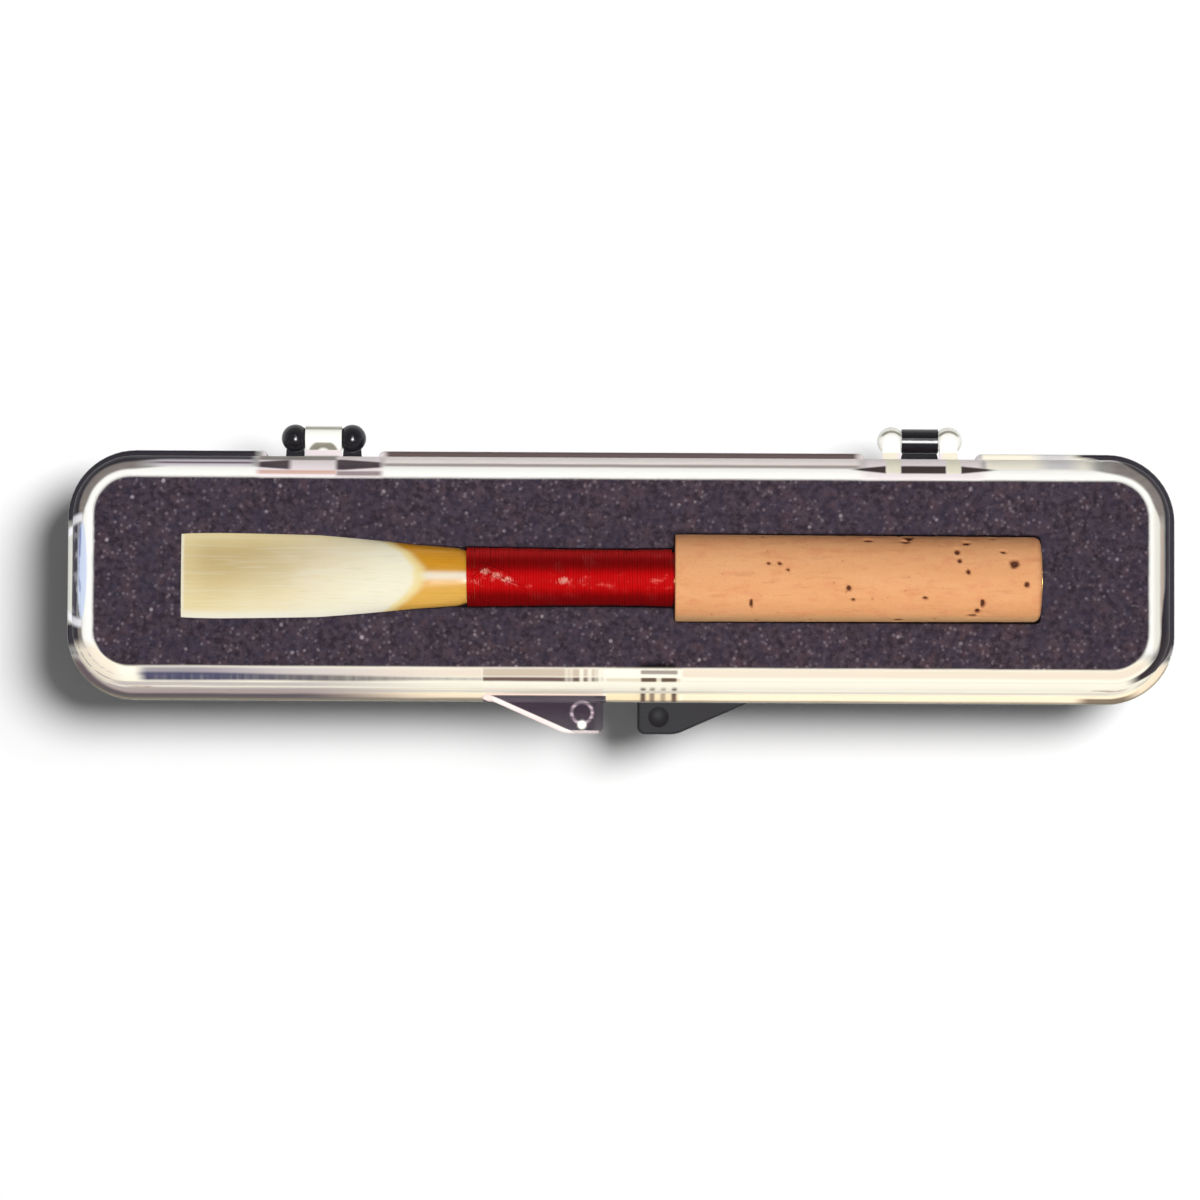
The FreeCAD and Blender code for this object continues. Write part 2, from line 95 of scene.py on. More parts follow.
# Rows of a blade: station, bore half width and height, outer half width and height, roundness.
BLADE_ROWS = (
    (0.0, 3.339, 0.241, 3.438, 0.340, 0.0),
    (0.823, 3.374, 0.279, 3.495, 0.400, 0.0),
    (3.055, 3.359, 0.350, 3.530, 0.521, 0.0),
    (5.875, 3.257, 0.494, 3.495, 0.733, 0.0),
    (8.342, 3.152, 0.617, 3.449, 0.914, 0.1),
    (11.397, 3.011, 0.771, 3.380, 1.140, 0.2),
    (13.395, 2.827, 0.870, 3.219, 1.261, 0.3),
    (15.510, 2.616, 0.978, 3.034, 1.397, 0.4),
    (17.508, 2.402, 1.066, 2.838, 1.503, 0.5),
    (19.505, 2.193, 1.158, 2.643, 1.608, 0.7),
    (21.385, 2.066, 1.264, 2.516, 1.714, 0.9),
    (23.030, 1.927, 1.370, 2.377, 1.820, 1.0),
    (23.500, 1.740, 1.400, 2.167, 1.850, 1.0),
    (24.410, 1.744, 1.421, 2.059, 1.862, 1.0),
    (27.000, 1.761, 1.526, 2.031, 1.877, 1.0),
    (30.500, 1.786, 1.668, 1.948, 1.857, 1.0),
)

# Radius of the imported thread, how flat the fine one is pressed, and the sides of its section.
THREAD_RADIUS = 0.14
THREAD_FLATNESS = 0.6
THREAD_SIDES = 10

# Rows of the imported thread's path: station, half width and half height at its middle.
THREAD_ROWS = (
    (23.64, 2.329, 2.131),
    (24.40, 2.329, 2.131),
    (27.00, 2.301, 2.146),
    (30.50, 2.238, 2.147),
    (31.50, 2.225, 2.159),
    (34.00, 2.194, 2.191),
    (38.00, 2.200, 2.200),
    (40.50, 2.264, 2.264),
)

# Strands over the turns: first and last station, first and last angle in degrees, lift.
CROSSINGS = (
    (24.0, 28.9, 76, 118, 0.30),
    (24.4, 27.6, 63, 92, 0.27),
    (23.9, 26.2, 98, 60, 0.25),
)

# Places of the painted highlights on the thread, along and across.
PAINTED_HIGHLIGHTS = ((-11.2, 0.30), (-10.2, 0.02), (-9.4, -0.35), (-4.7, -0.40))

# Pores on the top of the cork: station, place across, length and width.
CORK_PORES = (
    (48.40, 1.08, 0.16, 0.12),
    (49.30, 1.08, 0.18, 0.13),
    (50.00, 0.54, 0.14, 0.12),
    (47.00, -2.30, 0.12, 0.42),
    (54.97, -0.97, 0.20, 0.24),
    (55.37, -1.94, 0.16, 0.14),
    (56.67, 3.13, 0.30, 0.20),
    (59.67, 3.03, 0.34, 0.20),
    (61.27, -1.80, 0.20, 0.12),
    (63.87, 2.18, 0.20, 0.28),
    (64.07, 1.41, 0.17, 0.20),
    (64.67, 2.94, 0.26, 0.22),
    (64.77, 0.45, 0.16, 0.20),
    (67.67, 2.18, 0.18, 0.16),
    (68.57, 1.16, 0.36, 0.34),
    (69.57, -0.62, 0.22, 0.22),
    (65.97, -2.25, 0.18, 0.40),
    (65.57, -2.86, 0.20, 0.26),
    (65.17, -3.20, 0.34, 0.20),
)


def rgb(red, green, blue):
    """A linear colour from the 0 to 255 values of a screen colour."""
    shares = (channel / 255 for channel in (red, green, blue))
    return tuple(v / 12.92 if v <= 0.04045 else ((v + 0.055) / 1.055) ** 2.4 for v in shares)


def colour(label, about, *screen):
    """A colour property with a screen colour as its default."""
    return FloatVectorProperty(
        name=label, description=about, subtype="COLOR", size=3, min=0, max=1, default=rgb(*screen)
    )


def length(label, about, millimetres):
    """A length property, kept in metres."""
    default = millimetres * MM
    return FloatProperty(
        name=label, description=about, default=default, subtype="DISTANCE", unit="LENGTH"
    )


def strength(label, about, default):
    """The strength of a light."""
    return FloatProperty(name=label, description=about, default=default, min=0)


class CaseLook(PropertyGroup):
    """Colours of the case and its foam."""

    black: colour("Base plastic", "Glossy black polystyrene of the base", 24, 22, 28)
    # Both lid colours are painted light: the painted bright edges of the rim, and the painted cream
    # light along its latch side.
    clear: colour("Lid plastic", "Bright edges of the clear lid", 250, 249, 244)
    warm: colour("Lid front", "Warm edge of the lid on its latch side", 250, 244, 226)
    foam: colour("Foam", "Charcoal foam with a violet cast", 80, 68, 79)
    foam_dark: colour("Foam shade", "Darker parts of the foam", 49, 40, 50)
    # Colour of the painted glints on the foam.
    painted_glint: colour("Foam flecks", "Pale flecks in the foam", 198, 186, 194)
    foam_cell: length("Foam cell", "Size of the foam's cells", 0.35)


class ReedLook(PropertyGroup):
    """Colours and fine sizes of the reed."""

    tip: colour("Tip cane", "Thin scraped cane at the tip", 246, 226, 172)
    heart: colour("Heart cane", "Scraped cane behind the tip", 255, 248, 222)
    bark: colour("Bark", "Golden bark of the cane", 222, 154, 14)
    bark_light: colour("Bark in light", "Paler side of the bark", 240, 186, 84)
    thread: colour("Thread", "Waxed red thread", 206, 6, 10)
    thread_dark: colour("Thread shade", "Red at the sides", 134, 1, 4)
    cork: colour("Cork", "Warm brown of the cork", 236, 165, 109)
    cork_dark: colour("Cork pores", "Dark pores of the cork", 92, 48, 26)
    brass: colour("Staple", "Brass of the staple", 214, 176, 104)
    thread_thickness: length("Thread thickness", "Diameter of the thread", 0.22)
    scrape_depth: length("Scrape depth", "How far the scraped cane lies below the bark", 0.05)
    small_pores: IntProperty(
        name="Small pores", description="Small pores spread over the cork", default=130, min=0
    )


class StageLook(PropertyGroup):
    """Floor, light and camera."""

    floor: colour("Floor", "White floor", 252, 252, 252)
    key_power: strength("Key light", "Power of the light on the object", 9.3)
    back_power: strength("Back light", "Power of the light behind", 0.35)
    floor_power: strength("Floor light", "Power of the light on the floor", 12.0)
    fill: strength("Fill", "Light that comes from all round", 0.10)
    distance: length("Camera distance", "From the camera to the parting line", 500)


class Value:
    """A shader socket that takes part in sums, each of which adds its Math node."""

    def __init__(self, shader, socket):
        self.shader = shader
        self.socket = socket

    def math(self, operation, *terms):
        return self.shader.node("ShaderNodeMath", {"operation": operation}, dict(enumerate(terms)))

    def __add__(self, other):
        return self.math("ADD", self, other)

    def __sub__(self, other):
        return self.math("SUBTRACT", self, other)

    def __rsub__(self, other):
        return self.math("SUBTRACT", other, self)

    def __mul__(self, other):
        return self.math("MULTIPLY", self, other)

    def __pow__(self, other):
        return self.math("POWER", self, other)

    def __abs__(self):
        return self.math("ABSOLUTE", self)

    def __or__(self, other):
        """The larger of two values, so either of two masks."""
        return self.math("MAXIMUM", self, other)

    __radd__ = __add__
    __rmul__ = __mul__
    __ror__ = __or__

    def step(self, start, end):
        """A smooth step from 0 at start to 1 at end, whichever of them is larger."""
        ends = {"Value": self, "From Min": start, "From Max": end}
        return self.shader.node("ShaderNodeMapRange", {"interpolation_type": "SMOOTHSTEP"}, ends)

    def band(self, start, full, fade, end):
        """A mask that rises from start to full and falls from fade to end."""
        return self.step(start, full) * self.step(end, fade)


def away(across, along):
    """Distance from a point that lies so far off along two axes."""
    return (across * across + along * along) ** 0.5


class Shader:
    """A node tree under construction."""

    def __init__(self, tree):
        self.tree = tree
        tree.nodes.clear()

    def node(self, kind, settings=None, inputs=None, output=0):
        """Add a node with its settings, then its values or links, and return one of its outputs."""
        made = self.tree.nodes.new(kind)
        for name, setting in (settings or {}).items():
            setattr(made, name, setting)
        for key, value in (inputs or {}).items():
            socket = made.inputs[key]
            if isinstance(value, Value):
                self.tree.links.new(value.socket, socket)
            else:
                socket.default_value = (*value, 1) if socket.type == "RGBA" else value
        return Value(self, made.outputs[output]) if len(made.outputs) else None

    @cached_property
    def point(self):
        """The point on the piece, in millimetres of the row frame."""
        metres = self.node("ShaderNodeTexCoord", output="Object")
        links = {0: metres, "Scale": 1 / MM}
        return self.node("ShaderNodeVectorMath", {"operation": "SCALE"}, links)

    def axes(self, point):
        """The three coordinates of a point."""
        split = self.node("ShaderNodeSeparateXYZ", inputs={0: point}).socket.node
        return [Value(self, output) for output in split.outputs]

    def grain(self, scale, detail=2.0, roughness=0.5, stretch=None):
        """Noise about 0.5 at a number of waves per millimetre, more or less along each axis."""
        point = self.point
        if stretch:
            links = {0: point, 1: stretch}
            point = self.node("ShaderNodeVectorMath", {"operation": "MULTIPLY"}, links)
        links = {"Vector": point, "Scale": scale, "Detail": detail, "Roughness": roughness}
        return self.node("ShaderNodeTexNoise", inputs=links, output="Fac")

    def cells(self, scale):
        """Distance from the middles of cells, at a number of them per millimetre."""
        links = {"Vector": self.point, "Scale": scale}
        return self.node("ShaderNodeTexVoronoi", inputs=links, output="Distance")

    def mix(self, share, first, second):
        """Two colours mixed by a share."""
        settings = {"data_type": "RGBA", "clamp_factor": True}
        return self.node("ShaderNodeMix", settings, {0: share, 6: first, 7: second}, 2)

    def attribute(self, name):
        """A value kept on the mesh."""
        return self.node("ShaderNodeAttribute", {"attribute_name": name}, output="Fac")

    def bump(self, height, millimetres, share, below=None):
        """A normal from a height of 0 to 1 that stands for a real height, felt by a share."""
        links = {"Height": height, "Distance": millimetres * MM, "Strength": share}
        if below:
            links["Normal"] = below
        return self.node("ShaderNodeBump", inputs=links)

    def principled(self, **inputs):
        """A Principled surface, with underscores for the spaces in its sockets' names."""
        links = {name.replace("_", " "): value for name, value in inputs.items()}
        return self.node("ShaderNodeBsdfPrincipled", inputs=links)

    def finish(self, surface):
        """The material, with its surface."""
        self.node("ShaderNodeOutputMaterial", inputs={"Surface": surface})
        return self.material


class Paint:
    """A colour and an opacity, built up one layer over another."""

    def __init__(self, shader, tone, opacity=1.0):
        self.shader = shader
        self.tone = tone
        self.opacity = opacity

    def tint(self, mask, tone):
        """Lay a colour over a mask."""
        self.tone = self.shader.mix(mask, self.tone, tone)

    def add(self, mask, tone, opacity=0.95):
        """Lay a colour over a mask with an opacity of its own."""
        self.tint(mask, tone)
        self.opacity = self.opacity + (opacity - self.opacity) * mask


def new_finish(name):
    """The shader of a new material."""
    material = bpy.data.materials.new(name)
    material.use_nodes = True
    shader = Shader(material.node_tree)
    shader.material = material
    return shader


def dress(piece, material):
    """Give a piece one material."""
    piece.data.materials.clear()
    piece.data.materials.append(material)


def new_piece(mesh, finish):
    """A piece with a mesh and a finish, riding on the base."""
    piece = bpy.data.objects.new(mesh.name, mesh)
    bpy.context.scene.collection.objects.link(piece)
    dress(piece, finish)
    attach(piece, "base")
    return piece


def new_mesh(name, points, faces, sharp_degrees=40, **values):
    """A smooth-shaded mesh from points in millimetres, with numbers kept for each point."""
    mesh = bpy.data.meshes.new(name)
    mesh.from_pydata([Vector(point) * MM for point in points], [], faces)
    mesh.validate()
    mesh.shade_smooth()
    mesh.set_sharp_from_angle(angle=math.radians(sharp_degrees))
    for key, numbers in values.items():
        kept = mesh.attributes.new(key, "FLOAT", "POINT")
        kept.data.foreach_set("value", np.asarray(numbers, np.float32))
    return mesh


def ring_faces(rings, around):
    """Quads between closed rings that follow each other."""
    faces = []
    for start in range(0, (rings - 1) * around, around):
        for side in range(around):
            after = (side + 1) % around
            lower, upper = start + side, start + after
            faces.append((lower, upper, upper + around, lower + around))
    return faces


def soft_step(value, low, high):
    """A smooth step from 0 at low to 1 at high."""
    share = min(1, max(0, (value - low) / (high - low)))
    return share * share * (3 - 2 * share)


def wave(x, y, z, scale=1.0, seed=0.0):
    """Smooth noise between about -1 and 1 at a point in millimetres."""
    return noise.noise(Vector((x * scale + seed, y * scale - seed, z * scale + 2 * seed)))


def eased_rows(rows, stations, width):
    """Rows of a table read at many stations, with its corners eased over a width."""
    table = np.array(rows)
    step = stations[1] - stations[0]
    reach = max(1, round(width / step))
    kernel = np.hanning(2 * reach + 3)[1:-1]
    kernel /= kernel.sum()
    columns = []
    for column in range(1, table.shape[1]):
        values = np.interp(stations, table[:, 0], table[:, column])
        padded = np.pad(values, reach, mode="reflect", reflect_type="odd")
        columns.append(np.convolve(padded, kernel, mode="valid"))
    return np.array(columns).T


def crown(half_width, height, roundness, count):
    """Points over a crown, side to side: a lens arc, an oval, or between them."""
    radius = (half_width**2 + height**2) / (2 * height)
    half_angle = math.asin(min(1, half_width / radius))
    points = []
    for index in range(count):
        swing = 1 - 2 * index / (count - 1)
        lens_across = radius * math.sin(half_angle * swing)
        lens_rise = height - radius * (1 - math.cos(half_angle * swing))
        oval_across = half_width * math.sin(math.pi / 2 * swing)
        oval_rise = height * math.cos(math.pi / 2 * swing)
        across = lens_across + (oval_across - lens_across) * roundness
        rise = max(0, lens_rise + (oval_rise - lens_rise) * roundness)
        points.append((across, rise))
    return points


# Case


def black_plastic(look):
    """Glossy black polystyrene with faint moulding waves and hairline scratches."""
    shader = new_finish("black_polystyrene")
    cloud = shader.grain(0.35, 3)
    scratch = shader.grain(1.2, 3, 0.6, (0.25, 9, 9))
    scuff = scratch.step(0.62, 0.75)
    matt = shader.axes(shader.point)[1].step(-9.9, -10.5)
    tone = shader.mix(cloud, look.black, tuple(1.35 * c + 0.002 for c in look.black))
    waves = shader.bump(shader.grain(0.5), 0.02, 0.5)
    surface = shader.principled(
        Base_Color=shader.mix(scuff * 0.35, tone, (0.09, 0.085, 0.10)),
        Roughness=0.13 + 0.12 * cloud + 0.16 * scuff + 0.42 * matt,
        Specular_IOR_Level=0.32,
        Coat_Weight=0.25 - 0.25 * matt,
        Coat_Roughness=0.08,
        Normal=shader.bump(scratch, 0.004, 0.5, waves),
    )
    return shader.finish(surface)


class Rim(Paint):
    """The lid's rim, painted with bands of light, reflection and shade along its outline, on the
    faces that look up.
    """

    def __init__(self, shader, tone, opacity):
        super().__init__(shader, tone, opacity)
        x, y, z = shader.axes(shader.point)
        half_length, half_width, corner = 45.0, 9.7, 5.0
        over_x = (abs(x) - (half_length - corner)) | 0.0
        over_y = (abs(y) - (half_width - corner)) | 0.0
        self.x, self.y = x, y
        self.out = away(over_x, over_y) - corner
        self.skin = z.step(11.7, 12.5) | z.band(7.80, 7.86, 8.7, 9.3)
        self.wall = z.band(7.9, 8.1, 12.2, 12.8) * y.step(-8.8, -9.2)
        self.behind = y.step(6.4, 7.8)
        self.front = y.step(-6.4, -7.6)
        self.streaks = shader.grain(1.1, 3, stretch=(0.5, 3, 3))
        self.drifted = self.out + 0.1 * (shader.grain(0.8, stretch=(0.2, 1, 1)) - 0.5)

    def strip(self, start, full, fade=0.7, end=0.9):
        """A band between two distances from the outline."""
        return self.drifted.band(start, full, fade, end) * self.skin

    def line(self, middle, half, blur=0.08):
        """A band about a distance from the outline, both of which may vary along it."""
        return (abs(self.out - middle) - half).step(blur, -blur) * self.skin

    def lay(self, mask, limits, screen, opacity=0.95):
        """Lay a screen colour over a band between two distances from the outline."""
        self.add(mask * self.strip(*limits), rgb(*screen), opacity)


def rim_back(rim, look):
    """The hinge side, its corners and the heel end: painted dark outside, where the black base
    shows through, and painted light beside the window.
    """
    x, y, behind, mix = rim.x, rim.y, rim.behind, rim.shader.mix
    add, lay = rim.add, rim.lay
    far_heel = x.step(42.2, 43.6) * y.step(5.2, 3.6)
    heel = x.step(36.8, 38.2) * y.step(-7.0, -5.2)
    tip = x.step(-29.4, -30.4) * y.step(3.8, 4.6)
    tip_front = x.step(-42.0, -43.5) * y.band(-6.8, -5.6, -4.3, -3.6)
    dark = heel | tip | tip_front
    # Painted reflections: brown streaks at the corners.
    brown = mix(rim.streaks, rgb(70, 56, 55), rgb(142, 124, 114))
    straight = tip * y.step(7.0, 8.4) * x.step(-40.0, -37.0)
    toned = dark * (1 - x.step(0, 1) * x.step(40.5, 38.0)) * (1 - far_heel) * (1 - straight)
    add(toned * rim.strip(-1.7, -1.4, -0.5, -0.3) * 0.85, brown, 0.92)
    lay(straight, (-1.22, -1.12, -0.40, -0.30), (210, 202, 210))
    add(straight * rim.line(-0.84, 0.08), rgb(104, 90, 96))
    lay(dark * far_heel, (-1.18, -1.02, -0.96, -0.68), (186, 164, 150), 0.94)
    # Painted light and shade in bands between and beyond the hinges.
    between = behind * abs(x).step(20.2, 19.0)
    lay(between, (-1.3, -1.15), (250, 240, 235))
    lay(between * 0.9, (-1.24, -1.04, -0.92, -0.74), (156, 146, 141))
    lay(between, (-0.22, 0.12), (92, 75, 74))
    beyond = behind * x.band(29.4, 29.9, 37.4, 39.6)
    lay(beyond, (-1.3, -1.1), (246, 240, 222))
    fade = x.band(33.4, 35.2, 36.0, 38.4)
    lay(beyond * fade * 0.75, (-1.2, -1.0), (200, 198, 206))
    # Painted dark: the black base as seen through the rim, at the ends.
    painted_dark = mix(rim.streaks, rgb(14, 10, 20), rgb(38, 29, 46))
    heel_limit = 0.30 - 1.04 * x.step(38.0, 42.4) - 0.34 * y.step(0.0, -5.0)
    tip_limit = -0.58 - 0.22 * x.step(-37.0, -41.0)
    limit = (heel_limit - 9 * x.step(0, -1)) | (tip_limit - 9 * x.step(0, 1))
    add(dark * (rim.drifted - limit).step(-0.12, 0.12) * rim.skin, painted_dark)
    # Painted light: a bright band beside the window.
    corners = 0.30 * x.step(-36.5, -40.5) + 0.42 * x.step(38.0, 41.0)
    reach = -1.12 + 0.03 * x.step(41.0, 43.0) - corners * y.step(4.0, 6.0)
    glow = rim.strip(-2.10, -1.72, 5.0, 6.0) * (rim.drifted - reach).step(0.12, -0.14)
    bright = mix(x.step(43.0, 43.6), look.clear, rgb(230, 227, 216))
    add(glow * y.step(-7.4, -5.6), bright)


def rim_hinges(rim):
    """The rim below the hinges, with painted dark gaps between the painted pale light on the feet
    of the lid's arms.
    """
    behind, add, lay = rim.behind, rim.add, rim.lay
    from_heel = abs(rim.x - HINGE_PLACE)
    from_tip = rim.x + HINGE_PLACE
    heel = behind * from_heel.step(5.6, 4.3)
    tip = behind * abs(from_tip).step(5.4, 4.7)
    lay(heel | tip, (-2.10, -1.74), (238, 226, 228), 0.93)
    foot = from_heel.band(1.75, 1.95, 2.95, 3.15)
    wedge = 0.32 - 0.10 * ((from_heel - 3.0) | 0.0)
    near = behind * from_heel.step(6.4, 5.0)
    add(near * rim.line(-1.17, wedge) * (1 - foot), rgb(62, 48, 48), 0.92)
    lay(heel * foot, (-1.5, -1.4), (236, 230, 208), 0.93)
    right = from_tip.step(1.1, 1.6)
    sides = right | from_tip.step(-2.1, -2.7)
    painted_dark = rim.shader.mix(rim.streaks, rgb(44, 36, 48), rgb(100, 86, 88))
    taper = 0.44 - 0.07 * ((abs(from_tip) - 2.0) | 0.0)
    add(tip * sides * rim.line(-0.98, taper), painted_dark, 0.92)
    lay(tip * right, (-1.95, -1.82, -1.60, -1.42), (150, 136, 136), 0.9)
    rest = tip * (1 - right)
    lay(rest, (-1.80, -1.70, -1.50, -1.38), (214, 176, 164), 0.9)
    lay(rest, (-0.66, -0.50, 0.1, 0.24), (140, 132, 124), 0.9)


def rim_tip_end(rim):
    """The tip end, all painted light and shade: a blue lens of light, dark pools and a pale outer
    lip.
    """
    out, grain, add, lay = rim.out, rim.shader.grain, rim.add, rim.lay
    aside = abs(rim.y)
    tip = rim.x.step(-42.0, -43.0)
    end = tip * aside.step(4.3, 3.5)
    add(end * rim.line(-1.10, 0.42 - 0.020 * aside * aside), rgb(212, 224, 246))
    flow = grain(1.3, 3, stretch=(1.6, 0.35, 1)).step(0.42, 0.60)
    add(end * rim.line(-0.92, 0.09) * flow, rgb(120, 130, 182))
    pools = 0.25 + 0.75 * grain(0.9, stretch=(1, 0.7, 1)).step(0.34, 0.52)
    lay(end, (-0.86, -0.66, -0.1, 0.10), (186, 184, 190), 0.93)
    lay(end * pools, (-0.84, -0.60, -0.12, 0.10), (56, 50, 64), 0.93)
    lay(end, (0.10, 0.26), (216, 216, 207), 0.94)
    hooks = tip * (aside + 0.8 * out + 0.35 * out * out).band(3.3, 3.7, 3.95, 4.4)
    lay(hooks, (-1.3, -1.0, 0.5, 0.7), (240, 240, 244), 0.93)


def rim_front(rim, look):
    """The latch side, painted with light and shade: cream, with a blue-grey line and a rosy edge
    toward the tip.
    """
    x, y, front, streaks = rim.x, rim.y, rim.front, rim.streaks
    mix, grain, add, lay = rim.shader.mix, rim.shader.grain, rim.add, rim.lay
    rim.tint(front, look.warm)
    add(front * rim.strip(-2.10, -1.72), look.warm)
    tipward = front * x.step(-11.1, -11.4)
    heelward = front * x.step(4.8, 5.2)
    far_tip = x.step(-13.0, -27.0)
    pale = mix(far_tip, rgb(228, 214, 196), rgb(204, 194, 190))
    pale = mix(x.step(-24.0, -36.0), pale, rgb(150, 144, 150))
    straight = tipward * x.step(-39.8, -38.4)
    add(straight * rim.strip(-2.06, -1.70, -1.34, -1.05), pale)
    lay(heelward, (-2.06, -1.70, -1.36, -1.05), (231, 217, 196))
    middle = -1.0 - 0.12 * x.step(-20.0, -34.0)
    half = 0.10 + 0.15 * x.step(-13.0, -24.0) + 0.08 * x.step(-27.0, -36.0)
    span = front * x.band(-39.6, -38.4, -11.4, -11.1)
    ripple = 0.5 * (grain(1.6, stretch=(1, 0, 0)) - 0.5)
    deep = mix(x.step(-22.0, -34.0), rgb(104, 97, 98), rgb(66, 65, 94))
    add(span * rim.line(middle, half, 0.14) * (0.66 + 0.32 * far_tip + ripple), deep)
    silver = mix(far_tip, rgb(248, 240, 224), rgb(198, 188, 182))
    add(tipward * rim.strip(-0.76, -0.60, -0.46, -0.28), silver)
    shade = mix(far_tip, look.warm, rgb(190, 174, 170))
    rim.tint(rim.wall, mix(x.step(-11.4, -11.1), shade, look.warm))
    rosy = mix(far_tip, rgb(228, 214, 190), rgb(160, 144, 142))
    add(tipward * rim.strip(-0.34, -0.16), rosy)
    edge = mix(far_tip, rgb(196, 180, 156), rgb(76, 67, 72))
    add(tipward * rim.strip(-0.06, 0.16) * (0.45 + 0.55 * far_tip), edge)
    # Painted shadow: the floor's shadow tone laid over the flange's outer edge.
    lay(tipward * 0.85, (0.20, 0.46), (84, 79, 75))
    lay(heelward, (-0.34, 0.1), (231, 213, 188))
    between = front * x.band(-1.4, -1.0, 4.7, 5.1)
    lay(between, (-0.34, 0.1), (222, 204, 170))
    lay(between, (-1.20, -1.04, -0.94, -0.76), (226, 214, 190))
    lay(heelward * 0.3, (-1.0, -0.93, -0.88, -0.8), (214, 208, 200))
    # Painted shadow: a darker tone along the front's outer edge.
    lay(front * 0.8, (0.36, 0.54), (132, 123, 104))
    spots = front * grain(1.0, stretch=(0.6, 1.4, 1)).step(0.38, 0.60)
    corners = x.band(36.0, 38.0, 40.4, 42.0) | x.band(-40.8, -40.0, -38.6, -37.8)
    add(corners * spots * rim.line(-0.26, 0.08) * 0.7, rgb(160, 122, 108))
    # Painted shade at the outer edge of the heel corner.
    lay(front * x.band(37.0, 38.6, 41.2, 43.2), (0.06, 0.24), (112, 98, 80))
    tip_corner = x.band(-45.2, -44.6, -41.6, -40.2) * y.band(-9.4, -8.8, -6.6, -5.4)
    lay(tip_corner, (-1.99, -1.88, -0.3, -0.1), (240, 228, 208))
    add(tip_corner * rim.line(-0.60, 0.02) * streaks.step(0.3, 0.5), rgb(96, 82, 106))
    add(tip_corner * rim.line(-1.12, 0.02) * streaks.step(0.4, 0.6), rgb(140, 132, 156))
    lay(tip_corner * 0.6, (0.02, 0.2), (92, 76, 84))
    # Painted dark: the black base as seen through the heel corner.
    heel_corner = x.band(40.9, 42.4, 45.4, 46.0) * y.band(-9.3, -8.6, -5.0, -4.4)
    half_outer = 0.17 - 0.45 * y.step(-5.8, -8.8)
    add(heel_corner * rim.line(half_outer - 0.48, half_outer + 0.48), rgb(36, 24, 32))


def rim_tabs(rim):
    """The two tabs' roots and tongues, painted as they show through the rim, and the clear tab
    outside it, painted with light and shade.
    """
    x, y, front, streaks = rim.x, rim.y, rim.front, rim.streaks
    mix, grain, add, lay = rim.shader.mix, rim.shader.grain, rim.add, rim.lay
    root = front * x.band(-11.3, -11.1, -1.5, -1.3)
    stripes = grain(1.5, 1, stretch=(1, 0, 0)).step(0.38, 0.62)
    striped = root * (1 - 0.8 * x.step(-4.7, -4.4) * stripes)
    lay(striped, (-2.04, -1.74, -1.36, -1.10), (198, 182, 162))
    lay(striped, (-1.26, -1.08, -0.94, -0.76), (104, 80, 74))
    lay(root, (-0.30, -0.20), (226, 206, 192))
    upper = x.band(1.5, 1.8, 4.5, 4.8) * rim.strip(-1.86, -1.70, -1.54, -1.36)
    add(front * upper * 0.75, rgb(92, 68, 66))
    bars = x.band(1.55, 1.8, 2.8, 3.05) | x.band(3.2, 3.45, 4.45, 4.7)
    lay(front * bars, (-1.22, -1.08, -0.92, -0.76), (92, 70, 58))
    posts = 0.0
    for middle, weight in ((1.85, 1.0), (2.6, 0.8), (3.5, 0.6), (4.4, 1.0)):
        posts = posts | (weight * abs(x - middle).step(0.34, 0.06))
    lay(front * posts, (-0.50, -0.2, 0.6, 0.9), (92, 72, 56), 0.92)
    # The thumb tab is painted dark inside for the shade and reflections seen in it. It has painted
    # highlights along its sloping edge and nose, a painted ring round its dimple, and a painted
    # highlight spot.
    on_tab = x.band(-11.4, -11.2, -1.3, -1.1) * y.step(-9.74, -9.84)
    painted_dark = mix(streaks, rgb(28, 20, 30), rgb(66, 50, 66))
    add(on_tab, painted_dark, 0.66 - 0.3 * x.step(-2.6, -1.7))
    slope = (0.403 * (x + 4.6) + 0.915 * (y + 12.9)).band(-0.2, -0.1, 0.34, 0.46)
    nose = y.step(-12.62, -12.78) * x.band(-4.9, -4.5, -1.9, -1.5) * 0.75
    add(on_tab * (slope | nose), rgb(222, 206, 202), 0.92)
    ring = away(x + 3.15, y + 11.2).band(0.64, 0.80, 0.88, 1.08)
    broken = 0.3 + 0.7 * streaks.step(0.38, 0.60)
    add(on_tab * ring * broken, rgb(178, 160, 170), 0.85)
    add(on_tab * away(x + 3.15, y + 12.2).step(0.50, 0.16), rgb(252, 250, 240))


def rim_knuckles(rim):
    """The clear barrel and the clear balls of the hinges, painted bright, with olive lines of
    painted shade.
    """
    x, y, add = rim.x, rim.y, rim.add
    olive = rgb(132, 128, 112)
    knuckle = y.step(10.32, 10.42)
    add(knuckle, rgb(251, 251, 244), 0.93)
    from_barrel = abs(x + HINGE_PLACE)
    crease = from_barrel.step(1.9, 1.5) * y.band(12.02, 12.12, 12.24, 12.36)
    add(knuckle * crease * 0.75, olive, 0.9)
    arch = away(from_barrel, y - 9.9).band(0.5, 0.75, 1.15, 1.4)
    add(knuckle * y.step(11.1, 10.9) * arch, olive, 0.9)
    ball = away(abs(x - HINGE_PLACE) - 2.35, y - 11.15).band(0.82, 0.92, 1.02, 1.14)
    add(x.step(0, 1) * ball * y.step(11.6, 11.9), olive, 0.9)


